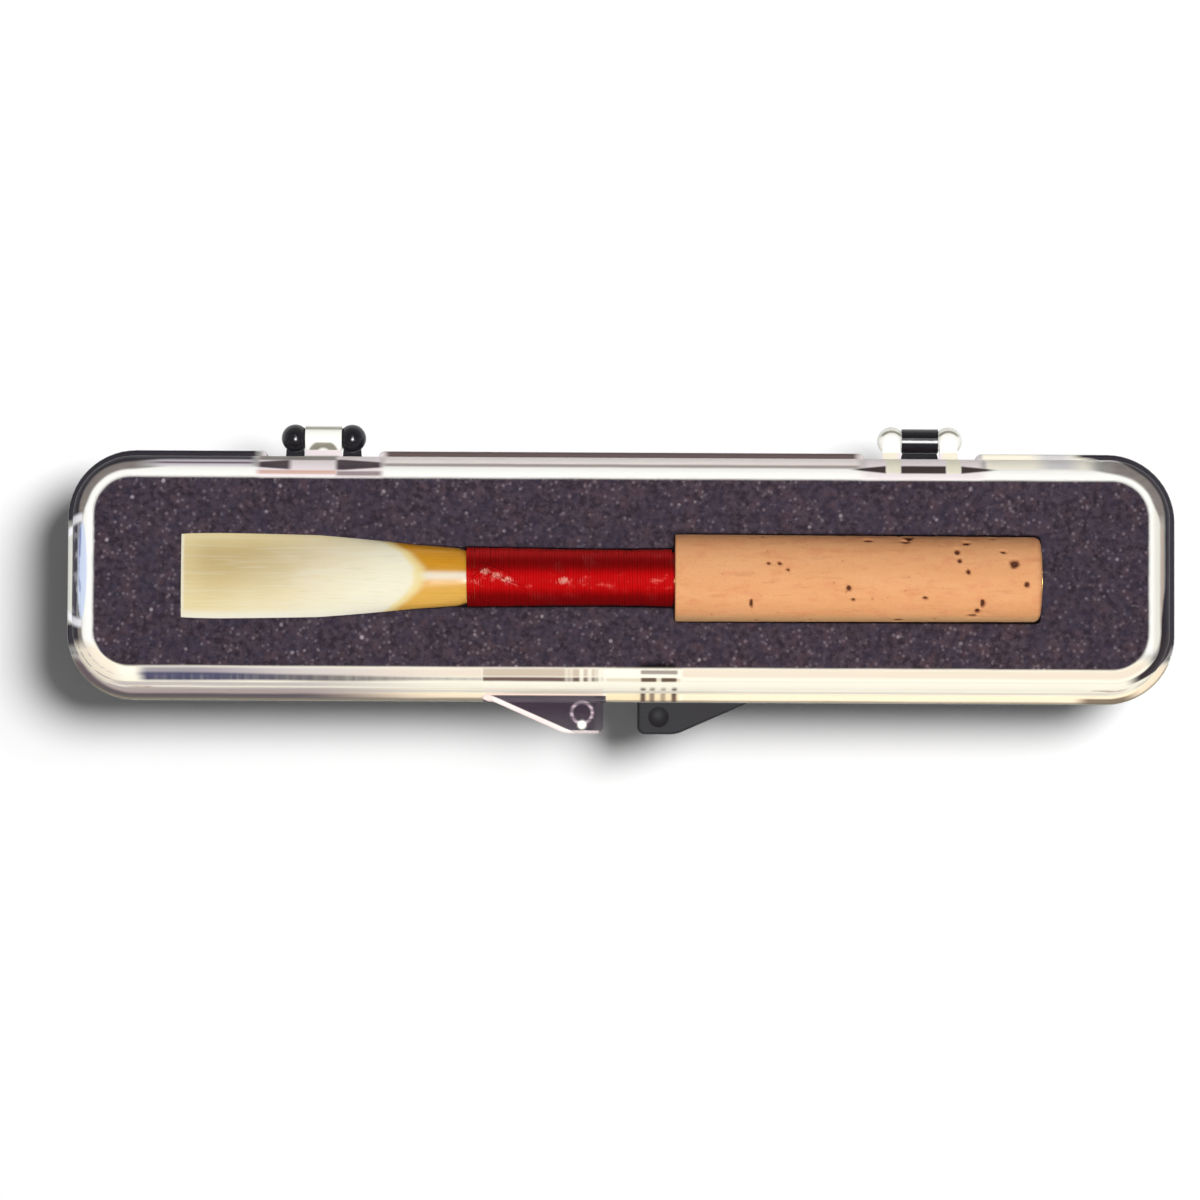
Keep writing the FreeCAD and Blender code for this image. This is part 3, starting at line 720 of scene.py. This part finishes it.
def clear_plastic(look):
    """Clear polystyrene: see-through faces, and a rim painted with bands of light, reflection and
    shade along its edge, which glows a little by itself.
    """
    shader = new_finish("clear_polystyrene")
    facing = shader.node("ShaderNodeLayerWeight", inputs={"Blend": 0.5}, output="Facing")
    # Faces seen edge-on turn opaque in the bright edge colour: a painted reflection.
    rim = Rim(shader, look.clear, 0.001 + 0.96 * facing**6)
    rim_back(rim, look)
    rim_hinges(rim)
    rim_tip_end(rim)
    rim_front(rim, look)
    rim_tabs(rim)
    rim_knuckles(rim)
    rough = 0.5 * rim.opacity * rim.y.step(-10.4, -10.3)
    body = shader.principled(
        Base_Color=rim.tone,
        Roughness=0.06 + 0.06 * shader.grain(0.22, 3) + rough,
        IOR=1.59,
        Specular_IOR_Level=0.22,
        Alpha=rim.opacity,
        # Painted glow: the painted colours shine a little by themselves, the front wall most.
        Emission_Color=shader.mix(0.16 + 0.84 * rim.wall, (0.0, 0.0, 0.0), rim.tone),
        Emission_Strength=0.5,
        Normal=shader.bump(shader.grain(0.4), 0.02, 0.3),
    )
    # Lamps reach what lies under the clear plastic, a little dimmed.
    through = shader.node("ShaderNodeBsdfTransparent", inputs={"Color": (0.93, 0.93, 0.93)})
    lamp = shader.node("ShaderNodeLightPath", output="Is Shadow Ray")
    mixed = shader.node("ShaderNodeMixShader", inputs={0: lamp, 1: body, 2: through})
    return shader.finish(mixed)


def charcoal_foam(look):
    """Fine open foam, charcoal with a violet cast, with faint pale specks, painted glints, and
    painted shade in the hollows of its cells.
    """
    shader = new_finish("charcoal_foam")
    cloud = shader.grain(0.45, 4, 0.6).step(0.44, 0.60)
    mottle = shader.grain(2.0, 3, 0.6)
    pits = shader.cells(1 / (look.foam_cell / MM))
    size = shader.grain(0.55)
    rich = shader.grain(1.1)
    painted_glint = (shader.cells(0.80) - 0.10 * size).step(0.13, 0.0)
    faint = shader.cells(1.9).step(0.42, 0.08) * rich.step(0.38, 0.60)
    paint = Paint(shader, shader.mix(mottle.step(0.32, 0.68), look.foam_dark, look.foam))
    paint.tint(0.42 * cloud, rgb(62, 57, 76))
    paint.tint(0.38 * rich.step(0.52, 0.66), rgb(94, 72, 77))
    # Painted shade: the hollows of the cells are darker.
    paint.tint(0.30 * pits.step(0.42, 0.12), look.foam_dark)
    paint.tint(0.45 * faint, rgb(146, 134, 144))
    # Painted glints: pale spots where light catches the cells.
    paint.tint(0.62 * painted_glint * size.step(0.48, 0.68), look.painted_glint)
    surface = shader.principled(
        Base_Color=paint.tone,
        Roughness=0.92 - 0.3 * painted_glint,
        Specular_IOR_Level=0.12,
        Normal=shader.bump(mottle, 0.05, 0.6, shader.bump(pits, 0.10, 0.6)),
    )
    return shader.finish(surface)


class REED_OT_case(Operator):
    """Give the base its black plastic and the lid its clear plastic"""

    bl_idname = "reed.case"
    bl_label = "Case"

    def execute(self, context):
        look = context.scene.case_look
        dress(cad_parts["case_base"], black_plastic(look))
        dress(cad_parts["case_lid"], clear_plastic(look))
        return {"FINISHED"}


class REED_OT_foam(Operator):
    """Build the foam with its cells and the pocket for the reed"""

    bl_idname = "reed.foam"
    bl_label = "Foam"

    def execute(self, context):
        look = context.scene.case_look
        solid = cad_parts["foam_insert"].data
        rough = bpy.data.objects.new("foam_rough", solid.copy())
        context.scene.collection.objects.link(rough)
        weld = rough.modifiers.new("weld", "WELD")
        weld.merge_threshold = 0.001 * MM
        remesh = rough.modifiers.new("cells", "REMESH")
        remesh.mode = "VOXEL"
        remesh.voxel_size = 0.2 * MM
        soften = rough.modifiers.new("soften", "SMOOTH")
        soften.iterations = 1
        soften.factor = 0.5
        graph = context.evaluated_depsgraph_get()
        mesh = bpy.data.meshes.new_from_object(rough.evaluated_get(graph))
        bpy.data.objects.remove(rough)
        cell = look.foam_cell / MM
        points, normals = np.zeros((2, len(mesh.vertices) * 3))
        mesh.vertices.foreach_get("co", points)
        mesh.vertices.foreach_get("normal", normals)
        points = points.reshape(-1, 3) / MM
        for point, normal in zip(points, normals.reshape(-1, 3)):
            x, y, z = point
            lumps = 0.022 * wave(x, y, z, 0.9 / cell, 3.0)
            height = lumps - 0.02 - 0.02 * abs(wave(x, y, z, 0.35 / cell, 8.0))
            in_pocket = abs(y) < POCKET_HALF and POCKET_ENDS[0] < x < POCKET_ENDS[1]
            if in_pocket and z > POCKET_FLOOR and normal[2] < 0.9:
                # The pocket closes round the reed.
                height = 0.075 + 0.3 * height
            point += normal * height
            if normal[1] < -0.4 and -7.5 < y < -7.0 and 1.0 < abs(x) < 5.2:
                # The foam reaches out to the snap tongues.
                point[1] -= 0.2
        mesh.vertices.foreach_set("co", (points * MM).ravel())
        mesh.shade_smooth()
        mesh.name = "foam_block"
        piece = new_piece(mesh, charcoal_foam(look))
        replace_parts(piece, "foam_insert")
        return {"FINISHED"}


# Reed


def cane_finish(look):
    """Scraped cane from its thin tip to the heart, with a painted highlight along its tip and lower
    edge, and glossy bark with long fibres, painted lighter on its lower side and with a painted
    highlight along its crest.
    """
    shader = new_finish("cane")
    mix = shader.mix
    station = shader.axes(shader.point)[0] - TIP_PLACE
    bark = shader.attribute("bark")
    side = shader.attribute("side")
    fibre = shader.grain(1.6, 4, 0.62, (0.10, 5.5, 5.5))
    streak = shader.grain(1.7, 3, 0.55, (0.035, 1.6, 1.6))
    cloud = shader.grain(0.28, 3)
    heart = (station - 3.4 * side + 4.0 * (cloud - 0.5)).step(2.8, 18.0)
    tip = mix(side.band(-0.95, 0.38, 0.50, 1.10), look.tip, rgb(208, 185, 132))
    tip = mix(0.4 * station.step(2.6, 0.3), tip, look.tip)
    scraped = Paint(shader, mix(heart, tip, look.heart))
    scraped.tint(0.22 * streak.step(0.48, 0.70), (0.97, 0.94, 0.84))
    scraped.tint(0.22 * fibre.step(0.50, 0.78), rgb(200, 174, 120))
    # Painted highlight: a pale line along the tip's end and the lower edge of the blade.
    edges = (0.65 * station.step(0.34, 0.12)) | (0.8 * side.step(-0.74, -0.95))
    scraped.tint(edges, rgb(255, 250, 230))
    # Painted light: the bark is lighter on its lower side.
    skin = Paint(shader, mix(side.step(-0.7, 0.7), look.bark_light, look.bark))
    skin.tint(0.35 * fibre.step(0.50, 0.74), rgb(170, 100, 10))
    skin.tint(0.4 * streak.step(0.50, 0.7), rgb(232, 176, 70))
    # Painted highlight along the crest of the bark.
    skin.tint(0.88 * side.band(-0.24, -0.02, 0.02, 0.24), rgb(255, 246, 226))
    tone = mix(bark.step(0.18, 0.98), scraped.tone, skin.tone)
    surface = shader.principled(
        Base_Color=mix(0.6 * bark.band(0.06, 0.40, 0.50, 0.98), tone, rgb(248, 226, 140)),
        Roughness=0.60 - 0.26 * bark + 0.12 * (fibre - 0.5),
        Specular_IOR_Level=0.15,
        Coat_Weight=0.9 * bark,
        Coat_Roughness=0.2,
        Subsurface_Weight=0.12,
        Subsurface_Radius=(0.9, 0.6, 0.3),
        Subsurface_Scale=0.4 * MM,
        Normal=shader.bump(streak, 0.01, 0.4, shader.bump(fibre, 0.012, 0.5)),
    )
    return shader.finish(surface)


def scrape_edge(across_share, across):
    """Station where the scrape ends, further back along the middle of the blade."""
    return 19.7 - 2.6 * abs(across_share) ** 2.2 + 0.25 * wave(across, 0, 0, 1.7, 5.0)


def blade_mesh(side, name, depth):
    """One blade as a closed skin round its outside and its bore."""
    stations = np.linspace(0, BLADE_END, 245)
    rows = eased_rows(BLADE_ROWS, stations, 0.55)
    count = 45
    lift = BLADE_GAP / 2
    points, bark, sides = [], [], []
    for station, (bore_width, bore_height, width, height, roundness) in zip(stations, rows):
        outside = crown(width, height - lift, roundness, count)
        inside = crown(bore_width, bore_height - lift, roundness, count)
        for across, rise in outside:
            share = across / width
            edge = scrape_edge(share, across + 9 * side)
            barked = soft_step(station, edge - 1.2, edge + 1.2)
            lower = depth * (1 - barked) * (1 - abs(share) ** 6) * soft_step(station, 1.5, 12)
            uneven = 0.008 * wave(station * 0.3, across, side, 1.4, 2.0) * (1 - barked)
            rise = max(0, rise - lower + uneven * min(1, rise))
            points.append((TIP_PLACE + station, across, AXIS_HEIGHT + side * (lift + rise)))
            bark.append(barked)
            sides.append(share)
        for across, rise in reversed(inside):
            points.append((TIP_PLACE + station, across, AXIS_HEIGHT + side * (lift + rise)))
        bark += [0] * count
        sides += [0] * count
    around = 2 * count
    faces = ring_faces(len(stations), around)
    for start in (0, (len(stations) - 1) * around):
        for index in range(count - 1):
            inner = start + around - 1 - index
            faces.append((start + index, start + index + 1, inner - 1, inner))
    if side < 0:
        faces = [tuple(reversed(face)) for face in faces]
    return new_mesh(name, points, faces, bark=bark, side=sides)


class REED_OT_blades(Operator):
    """Build the two cane blades, scraped from the tip to the bark"""

    bl_idname = "reed.blades"
    bl_label = "Blades"

    def execute(self, context):
        look = context.scene.reed_look
        finish = cane_finish(look)
        for side, node in ((1, "upper_blade"), (-1, "lower_blade")):
            mesh = blade_mesh(side, node.replace("blade", "cane"), look.scrape_depth / MM)
            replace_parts(new_piece(mesh, finish), node)
        return {"FINISHED"}


def thread_finish(look):
    """Waxed red thread under lacquer, with painted shade at its sides and between its turns, and
    painted highlights.
    """
    shader = new_finish("red_thread")
    x, y, _ = shader.axes(shader.point)
    cloud = shader.grain(0.75, 3)
    fuzz = shader.grain(2.4, 3, 0.6, (3.0, 1, 1))
    groove = shader.attribute("groove")
    # Painted shade: the red deepens toward the sides, and it is painted paler along the upper edge.
    aside = abs(y + 0.42 + 0.5 * (cloud - 0.5))
    paint = Paint(shader, shader.mix(aside.step(0.35, 1.38), look.thread, look.thread_dark))
    paint.tint(0.7 * y.step(1.2, 2.1), rgb(226, 40, 40))
    # Painted shade in the grooves between the turns.
    paint.tint(0.22 * groove, rgb(110, 0, 3))
    paint.tint(0.25 * fuzz.step(0.5, 0.8), look.thread_dark)
    # Painted highlights: pale pink spots at the listed places.
    for highlight_x, highlight_y in PAINTED_HIGHLIGHTS:
        off_x, off_y = x - highlight_x, y - highlight_y
        off = (off_x * off_x + 3 * off_y * off_y) ** 0.5 + 1.6 * (fuzz - 0.5)
        paint.tint(0.62 * off.step(0.55, 0.08), rgb(255, 190, 172))
    # Painted highlights: small bright spots in a band just in front of the crest.
    painted_highlight_spots = shader.grain(1.5, 3, 0.6, (0.8, 1.2, 1)).step(0.56, 0.70)
    paint.tint(0.45 * painted_highlight_spots * y.band(-1.15, -0.7, -0.1, 0.35), rgb(255, 120, 110))
    surface = shader.principled(
        Base_Color=paint.tone,
        Roughness=0.45 + 0.2 * (cloud - 0.5),
        Specular_IOR_Level=0.01,
        Coat_Weight=0.02 + 0.35 * cloud.step(0.56, 0.66) * (1 - groove),
        Coat_Roughness=0.25,
        Normal=shader.bump(fuzz, 0.012, 0.5, shader.bump(cloud, 0.12, 0.5)),
    )
    return shader.finish(surface)


def tube(path, radius, flatness=1.0):
    """Points and faces of a strand along a path, round or pressed flat, with flat ends."""
    path = np.asarray(path)
    along = np.gradient(path, axis=0)
    along /= np.linalg.norm(along, axis=1)[:, None]
    centre = np.array((0, 0, AXIS_HEIGHT))
    points = []
    for place, direction in zip(path, along):
        outward = place - centre
        outward[0] = 0
        outward -= direction * outward.dot(direction)
        outward /= np.linalg.norm(outward)
        beside = np.cross(direction, outward)
        for index in range(THREAD_SIDES):
            angle = 2 * math.pi * index / THREAD_SIDES
            offset = flatness * math.cos(angle) * outward + math.sin(angle) * beside
            points.append(tuple(place + radius * offset))
    faces = ring_faces(len(path), THREAD_SIDES)
    last = (len(path) - 1) * THREAD_SIDES
    faces.append(tuple(reversed(range(THREAD_SIDES))))
    faces.append(tuple(range(last, last + THREAD_SIDES)))
    return points, faces


def thread_point(station, angle, over, swell=1.0):
    """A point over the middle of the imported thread's path, which may swell a little."""
    stations, half_widths, half_heights = zip(*THREAD_ROWS)
    across = (np.interp(station, stations, half_widths) * swell + over) * math.cos(angle)
    rise = (np.interp(station, stations, half_heights) * swell + over) * math.sin(angle)
    return TIP_PLACE + station, across, AXIS_HEIGHT + rise


def winding_path(pitch):
    """The middle of the thread, turn after turn, with the unevenness of a hand winding."""
    start, end = THREAD_ROWS[0][0], THREAD_ROWS[-1][0]
    turns = (end - start) / pitch
    per_turn = 40
    inset = THREAD_RADIUS - THREAD_FLATNESS * pitch / 2
    path = []
    for index in range(int(turns * per_turn) + 1):
        turn = index / per_turn
        station = start + pitch * turn + 0.02 * wave(turn * 0.83, 0, 0, 1.0, 4.0)
        angle = 2 * math.pi * turn
        lumps = wave(station, math.cos(angle) * 1.3, math.sin(angle) * 1.3, 0.8, 7.0)
        path.append(thread_point(station, angle, inset, 1 + 0.020 * lumps - 0.006))
    return path


def crossing_path(first, last, start_degrees, end_degrees, lift):
    """A strand that crosses over the turns, from one station and angle to another."""
    path = []
    for index in range(41):
        share = index / 40
        station = first + (last - first) * share
        angle = math.radians(start_degrees + (end_degrees - start_degrees) * share)
        over = lift * min(1, 6 * share, 6 * (1 - share)) - 0.1
        path.append(thread_point(station, angle, over))
    return path


class REED_OT_thread(Operator):
    """Wind the red thread over the cane and the staple"""

    bl_idname = "reed.thread"
    bl_label = "Thread"

    def execute(self, context):
        look = context.scene.reed_look
        finish = thread_finish(look)
        thickness = look.thread_thickness / MM
        path = winding_path(thickness)
        points, faces = tube(path, thickness / 2, THREAD_FLATNESS)
        angles = 2 * math.pi * np.arange(THREAD_SIDES) / THREAD_SIDES
        grooves = np.clip((0.5 - 0.5 * np.cos(angles)) * 1.3 - 0.3, 0, 1)
        mesh = new_mesh("thread_turns", points, faces, groove=np.tile(grooves, len(path)))
        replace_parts(new_piece(mesh, finish), "thread_winding")
        for number, crossing in enumerate(CROSSINGS, 1):
            points, faces = tube(crossing_path(*crossing), thickness / 2)
            name = f"thread_crossing_{number}"
            mesh = new_mesh(name, points, faces, groove=np.zeros(len(points)))
            new_piece(mesh, finish)
        dress(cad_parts["thread_underlayer"], finish)
        return {"FINISHED"}


def brass_finish(look):
    """Drawn brass with fine turned rings and a dull film."""
    shader = new_finish("brass")
    film = shader.grain(0.6, 3).step(0.45, 0.7)
    rings = shader.grain(1.2, stretch=(14, 0.4, 0.4))
    surface = shader.principled(
        Base_Color=shader.mix(0.5 * film, look.brass, rgb(150, 108, 52)),
        Metallic=1.0,
        Roughness=0.24 + 0.2 * film,
        Normal=shader.bump(rings, 0.006, 0.5),
    )
    return shader.finish(surface)


class REED_OT_staple(Operator):
    """Give the staple its brass"""

    bl_idname = "reed.staple"
    bl_label = "Staple"

    def execute(self, context):
        dress(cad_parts["staple_tube"], brass_finish(context.scene.reed_look))
        return {"FINISHED"}


def cork_finish(look):
    """Cork with soft clouds, fine grains, growth streaks and dark pores."""
    shader = new_finish("cork")
    y = shader.axes(shader.point)[1]
    pore = shader.attribute("pore")
    cloud = shader.grain(0.8, 3, 0.5, (0.35, 1, 1))
    grain = shader.grain(5.0, 3, 0.65)
    streak = shader.grain(1.5, 3, 0.6, (0.3, 1.6, 1.6))
    blush = shader.grain(1.1, 3, 0.6, (0.6, 1, 1))
    paint = Paint(shader, shader.mix(cloud, look.cork, rgb(248, 186, 133)))
    paint.tint(0.30 * streak.step(0.52, 0.75), rgb(206, 128, 78))
    paint.tint(0.35 * grain.step(0.52, 0.75), rgb(212, 140, 92))
    paint.tint(0.35 * blush.step(0.50, 0.66), rgb(232, 146, 104))
    paint.tint(0.6 * y.step(-2.9, -3.5), rgb(204, 172, 124))
    paint.tint(0.5 * y.step(3.3, 3.55), rgb(250, 200, 156))
    paint.tint(0.55 * pore.step(0.04, 0.35), rgb(158, 92, 54))
    paint.tint(pore.step(0.35, 0.75), look.cork_dark)
    surface = shader.principled(
        Base_Color=paint.tone,
        Roughness=0.72 + 0.16 * grain,
        Specular_IOR_Level=0.3,
        Normal=shader.bump(streak, 0.03, 0.4, shader.bump(grain, 0.03, 0.5)),
    )
    return shader.finish(surface)


def cork_profile():
    """Stations and radii of the cork's section, from its front bore over its outside to the heel.

    A radius below 1 is a share of the way from the bore to the outside.
    """
    front, heel = CORK_RADII
    front_round, heel_round = CORK_ROUNDS
    last = REED_LENGTH - 0.03
    profile = [(CORK_STATION, 0), (CORK_STATION, 0.5), (CORK_STATION, 0.8)]
    for index in range(5):
        angle = math.pi / 2 * index / 4
        station = CORK_STATION + front_round * (1 - math.cos(angle))
        profile.append((station, front - front_round * (1 - math.sin(angle))))
    for station in np.linspace(CORK_STATION + 0.3, last - 0.7, 205):
        share = (station - CORK_STATION) / (REED_LENGTH - CORK_STATION)
        profile.append((float(station), front + (heel - front) * share))
    for index in range(8):
        angle = math.pi / 2 * index / 7
        station = last - heel_round * (1 - math.sin(angle))
        profile.append((station, heel - heel_round * (1 - math.cos(angle))))
    return profile + [(last, 0.5), (last, 0)]


def staple_half_size(station):
    """Outer half width and half height of the staple at a station."""
    stations = (CANE_REACH, ROUND_STATION, REED_LENGTH)
    return [
        float(np.interp(station, stations, (top, STAPLE_ROUND, STAPLE_HEEL))) for top in STAPLE_TOP
    ]


def pore_list(extra):
    """All pores: station, angle from the top, length, width and depth."""
    chance = random.Random(11)
    pores = []
    for station, across, long, wide in CORK_PORES:
        angle = math.asin(max(-1, min(1, across / CORK_RADII[0])))
        pores.append((station, angle, 1.35 * long, 1.35 * wide, 0.24))
    for _ in range(extra):
        station = chance.uniform(CORK_STATION + 0.5, REED_LENGTH - 0.5)
        angle = chance.uniform(-math.pi, math.pi)
        size = chance.uniform(0.10, 0.24)
        wide = size * chance.uniform(0.8, 1.8)
        if abs(angle) < 1.2:
            size, wide = size * 0.45, wide * 0.45
        elif chance.random() < 0.25:
            size, wide = size * 2.0, wide * 2.0
        pores.append((station, angle, size, wide, 0.04 + 0.6 * size))
    return np.array(pores)


def pore_depth(pores, station, angle):
    """How deep the pores are at a place on the cork."""
    turned = (angle - pores[:, 1] + math.pi) % (2 * math.pi) - math.pi
    ragged = 1 + 0.45 * wave(station, angle * 3.6, 0, 3.1, 6.0)
    far = ((station - pores[:, 0]) / pores[:, 2]) ** 2 + (turned * CORK_MIDDLE / pores[:, 3]) ** 2
    return float((np.clip(1 - far * ragged, 0, 1) ** 0.7 * pores[:, 4]).max())


class REED_OT_cork(Operator):
    """Build the cork sleeve with its pores and seam"""

    bl_idname = "reed.cork"
    bl_label = "Cork"

    def execute(self, context):
        look = context.scene.reed_look
        around = 168
        profile = cork_profile()
        pores = pore_list(look.small_pores)
        points, shade = [], []
        for station, radius in profile:
            end = 0 if station < 50 else 1
            full = CORK_RADII[end] - CORK_ROUNDS[end]
            bore = [half + SKIN_GAP for half in staple_half_size(station)]
            for index in range(around):
                angle = 2 * math.pi * index / around
                if radius < 1:
                    depth = 0
                    half_width, half_height = (half + (full - half) * radius for half in bore)
                else:
                    depth = pore_depth(pores, station, angle)
                    seam = math.exp(-((abs(angle - math.pi) * CORK_MIDDLE / SEAM_HALF) ** 2))
                    uneven = 0.012 * wave(station, angle * CORK_MIDDLE, 1.0, 1.6, 9.0)
                    half_width = half_height = radius - depth - SEAM_DEPTH * seam + uneven
                shade.append(min(1, depth / DARK_DEPTH))
                across = half_width * math.sin(angle)
                rise = half_height * math.cos(angle)
                points.append((TIP_PLACE + station, across, AXIS_HEIGHT + rise))
        faces = ring_faces(len(profile), around)
        last = (len(profile) - 1) * around
        for index in range(around):
            after = (index + 1) % around
            faces.append((last + index, last + after, after, index))
        faces = [tuple(reversed(face)) for face in faces]
        mesh = new_mesh("cork_skin", points, faces, 60, pore=shade)
        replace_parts(new_piece(mesh, cork_finish(look)), "cork_sleeve")
        return {"FINISHED"}


# Stage


def floor_piece(look):
    """A wide white floor that keeps the shadow and reads white in the picture."""
    corners = [(x * FLOOR_HALF, y * FLOOR_HALF, 0) for x, y in ((-1, -1), (1, -1), (1, 1), (-1, 1))]
    mesh = bpy.data.meshes.new("floor")
    mesh.from_pydata([Vector(corner) * MM for corner in corners], [], [(0, 1, 2, 3)])
    floor = bpy.data.objects.new("floor", mesh)
    bpy.context.scene.collection.objects.link(floor)
    shader = new_finish("white_floor")
    rays = shader.node("ShaderNodeLightPath", output="Is Camera Ray")
    plain = shader.node("ShaderNodeBsdfDiffuse", inputs={"Color": look.floor})
    glow = {"Color": (1.0, 1.0, 1.0), "Strength": rays * 0.04}
    lift = shader.node("ShaderNodeEmission", inputs=glow)
    both = shader.node("ShaderNodeAddShader", inputs={0: plain, 1: lift})
    dress(floor, shader.finish(both))
    return floor


def white_world(look):
    """A white room to the eye, darker overhead in mirrors, with a low fill on the object."""
    world = bpy.data.worlds.new("white_room")
    world.use_nodes = True
    bpy.context.scene.world = world
    shader = Shader(world.node_tree)
    seen = shader.node("ShaderNodeLightPath", output="Is Camera Ray")
    rays = seen.socket.node.outputs
    mirrored = Value(shader, rays["Is Glossy Ray"]) | Value(shader, rays["Is Transmission Ray"])
    height = shader.axes(shader.node("ShaderNodeTexCoord", output="Generated"))[2]
    ceiling = 0.5 - 0.32 * height.step(0.2, 0.8)
    strength = seen | (mirrored * ceiling) | look.fill
    inputs = {"Color": (1.0, 1.0, 1.0), "Strength": strength}
    back = shader.node("ShaderNodeBackground", inputs=inputs)
    shader.node("ShaderNodeOutputWorld", inputs={"Surface": back})


def aimed(name, data, place, target, up=Vector((0, 0, 1))):
    """An object that looks from a place at a target, both in metres."""
    holder = bpy.data.objects.new(name, data)
    back = (place - target).normalized()
    right = up.cross(back).normalized()
    turn = Matrix((right, back.cross(right), back)).transposed()
    holder.matrix_world = Matrix.Translation(place) @ turn.to_4x4()
    bpy.context.scene.collection.objects.link(holder)
    return holder


def area_light(name, power, size, direction, distance, other, state):
    """A round light aimed at the case, kept to another object or kept off it."""
    data = bpy.data.lights.new(name, "AREA")
    data.shape = "DISK"
    data.size = size
    data.energy = power * distance**2
    middle = Vector((0, 0, PARTING_HEIGHT * MM))
    light = aimed(name, data, middle + distance * Vector(direction).normalized(), middle)
    linked = bpy.data.collections.new(name + "_linked")
    linked.objects.link(other)
    linked.collection_objects[0].light_linking.link_state = state
    light.light_linking.receiver_collection = linked


class REED_OT_stage(Operator):
    """Set the floor, the light and the camera"""

    bl_idname = "reed.stage"
    bl_label = "Stage"

    def execute(self, context):
        scene = context.scene
        look = scene.stage_look
        scene.view_settings.view_transform = "Standard"
        floor = floor_piece(look)
        white_world(look)
        for name, power, size, direction, distance, state in (
            ("floor_light", look.floor_power, 1.32, (0.62, 0.30, 1), 2.5, "INCLUDE"),
            ("object_light", look.key_power, 0.34, (0.06, -0.26, 1), 1.0, "EXCLUDE"),
            ("back_light", look.back_power, 0.12, (0.03, 0.36, 1), 1.0, "EXCLUDE"),
        ):
            area_light(name, power, size, direction, distance, floor, state)
        camera = bpy.data.cameras.new("camera")
        camera.sensor_width = 36
        camera.lens = camera.sensor_width * look.distance / (VIEW_WIDTH * MM)
        camera.clip_start = 0.01
        target = Vector(VIEW_MIDDLE) * MM
        sideways, forward, roll = (math.radians(degrees) for degrees in (0.2, 3, 0.3))
        from_target = Vector((math.sin(sideways), -math.sin(forward), 1)).normalized()
        place = target + look.distance * from_target
        up = Vector((-math.sin(roll), math.cos(roll), 0))
        scene.camera = aimed("camera", camera, place, target, up)
        return {"FINISHED"}


class REED_PT_panel(Panel):
    """Lists the pieces of the reed and its case"""

    bl_idname = "REED_PT_panel"
    bl_label = "Oboe Reed"
    bl_space_type = "VIEW_3D"
    bl_region_type = "UI"
    bl_category = "Oboe Reed"

    def draw(self, context):
        scene = context.scene
        groups = (
            (scene.case_look, (REED_OT_case, REED_OT_foam)),
            (scene.reed_look, (REED_OT_blades, REED_OT_thread, REED_OT_staple, REED_OT_cork)),
            (scene.stage_look, (REED_OT_stage,)),
        )
        for look, operators in groups:
            column = self.layout.box().column()
            for name in look.bl_rna.properties.keys():
                if name not in ("rna_type", "name"):
                    column.prop(look, name)
            for operator in operators:
                column.operator(operator.bl_idname)


LOOKS = {"case_look": CaseLook, "reed_look": ReedLook, "stage_look": StageLook}
OPERATORS = (
    REED_OT_stage,
    REED_OT_case,
    REED_OT_foam,
    REED_OT_blades,
    REED_OT_thread,
    REED_OT_staple,
    REED_OT_cork,
)
CLASSES = (*LOOKS.values(), *OPERATORS, REED_PT_panel)


def register():
    for item in CLASSES:
        bpy.utils.register_class(item)
    for name, group in LOOKS.items():
        setattr(bpy.types.Scene, name, PointerProperty(type=group))


def unregister():
    for name in LOOKS:
        delattr(bpy.types.Scene, name)
    for item in reversed(CLASSES):
        bpy.utils.unregister_class(item)


def main():
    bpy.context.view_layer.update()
    register()
    for operator in OPERATORS:
        group, name = operator.bl_idname.split(".")
        getattr(getattr(bpy.ops, group), name)()


if __name__ == "__main__":
    main()
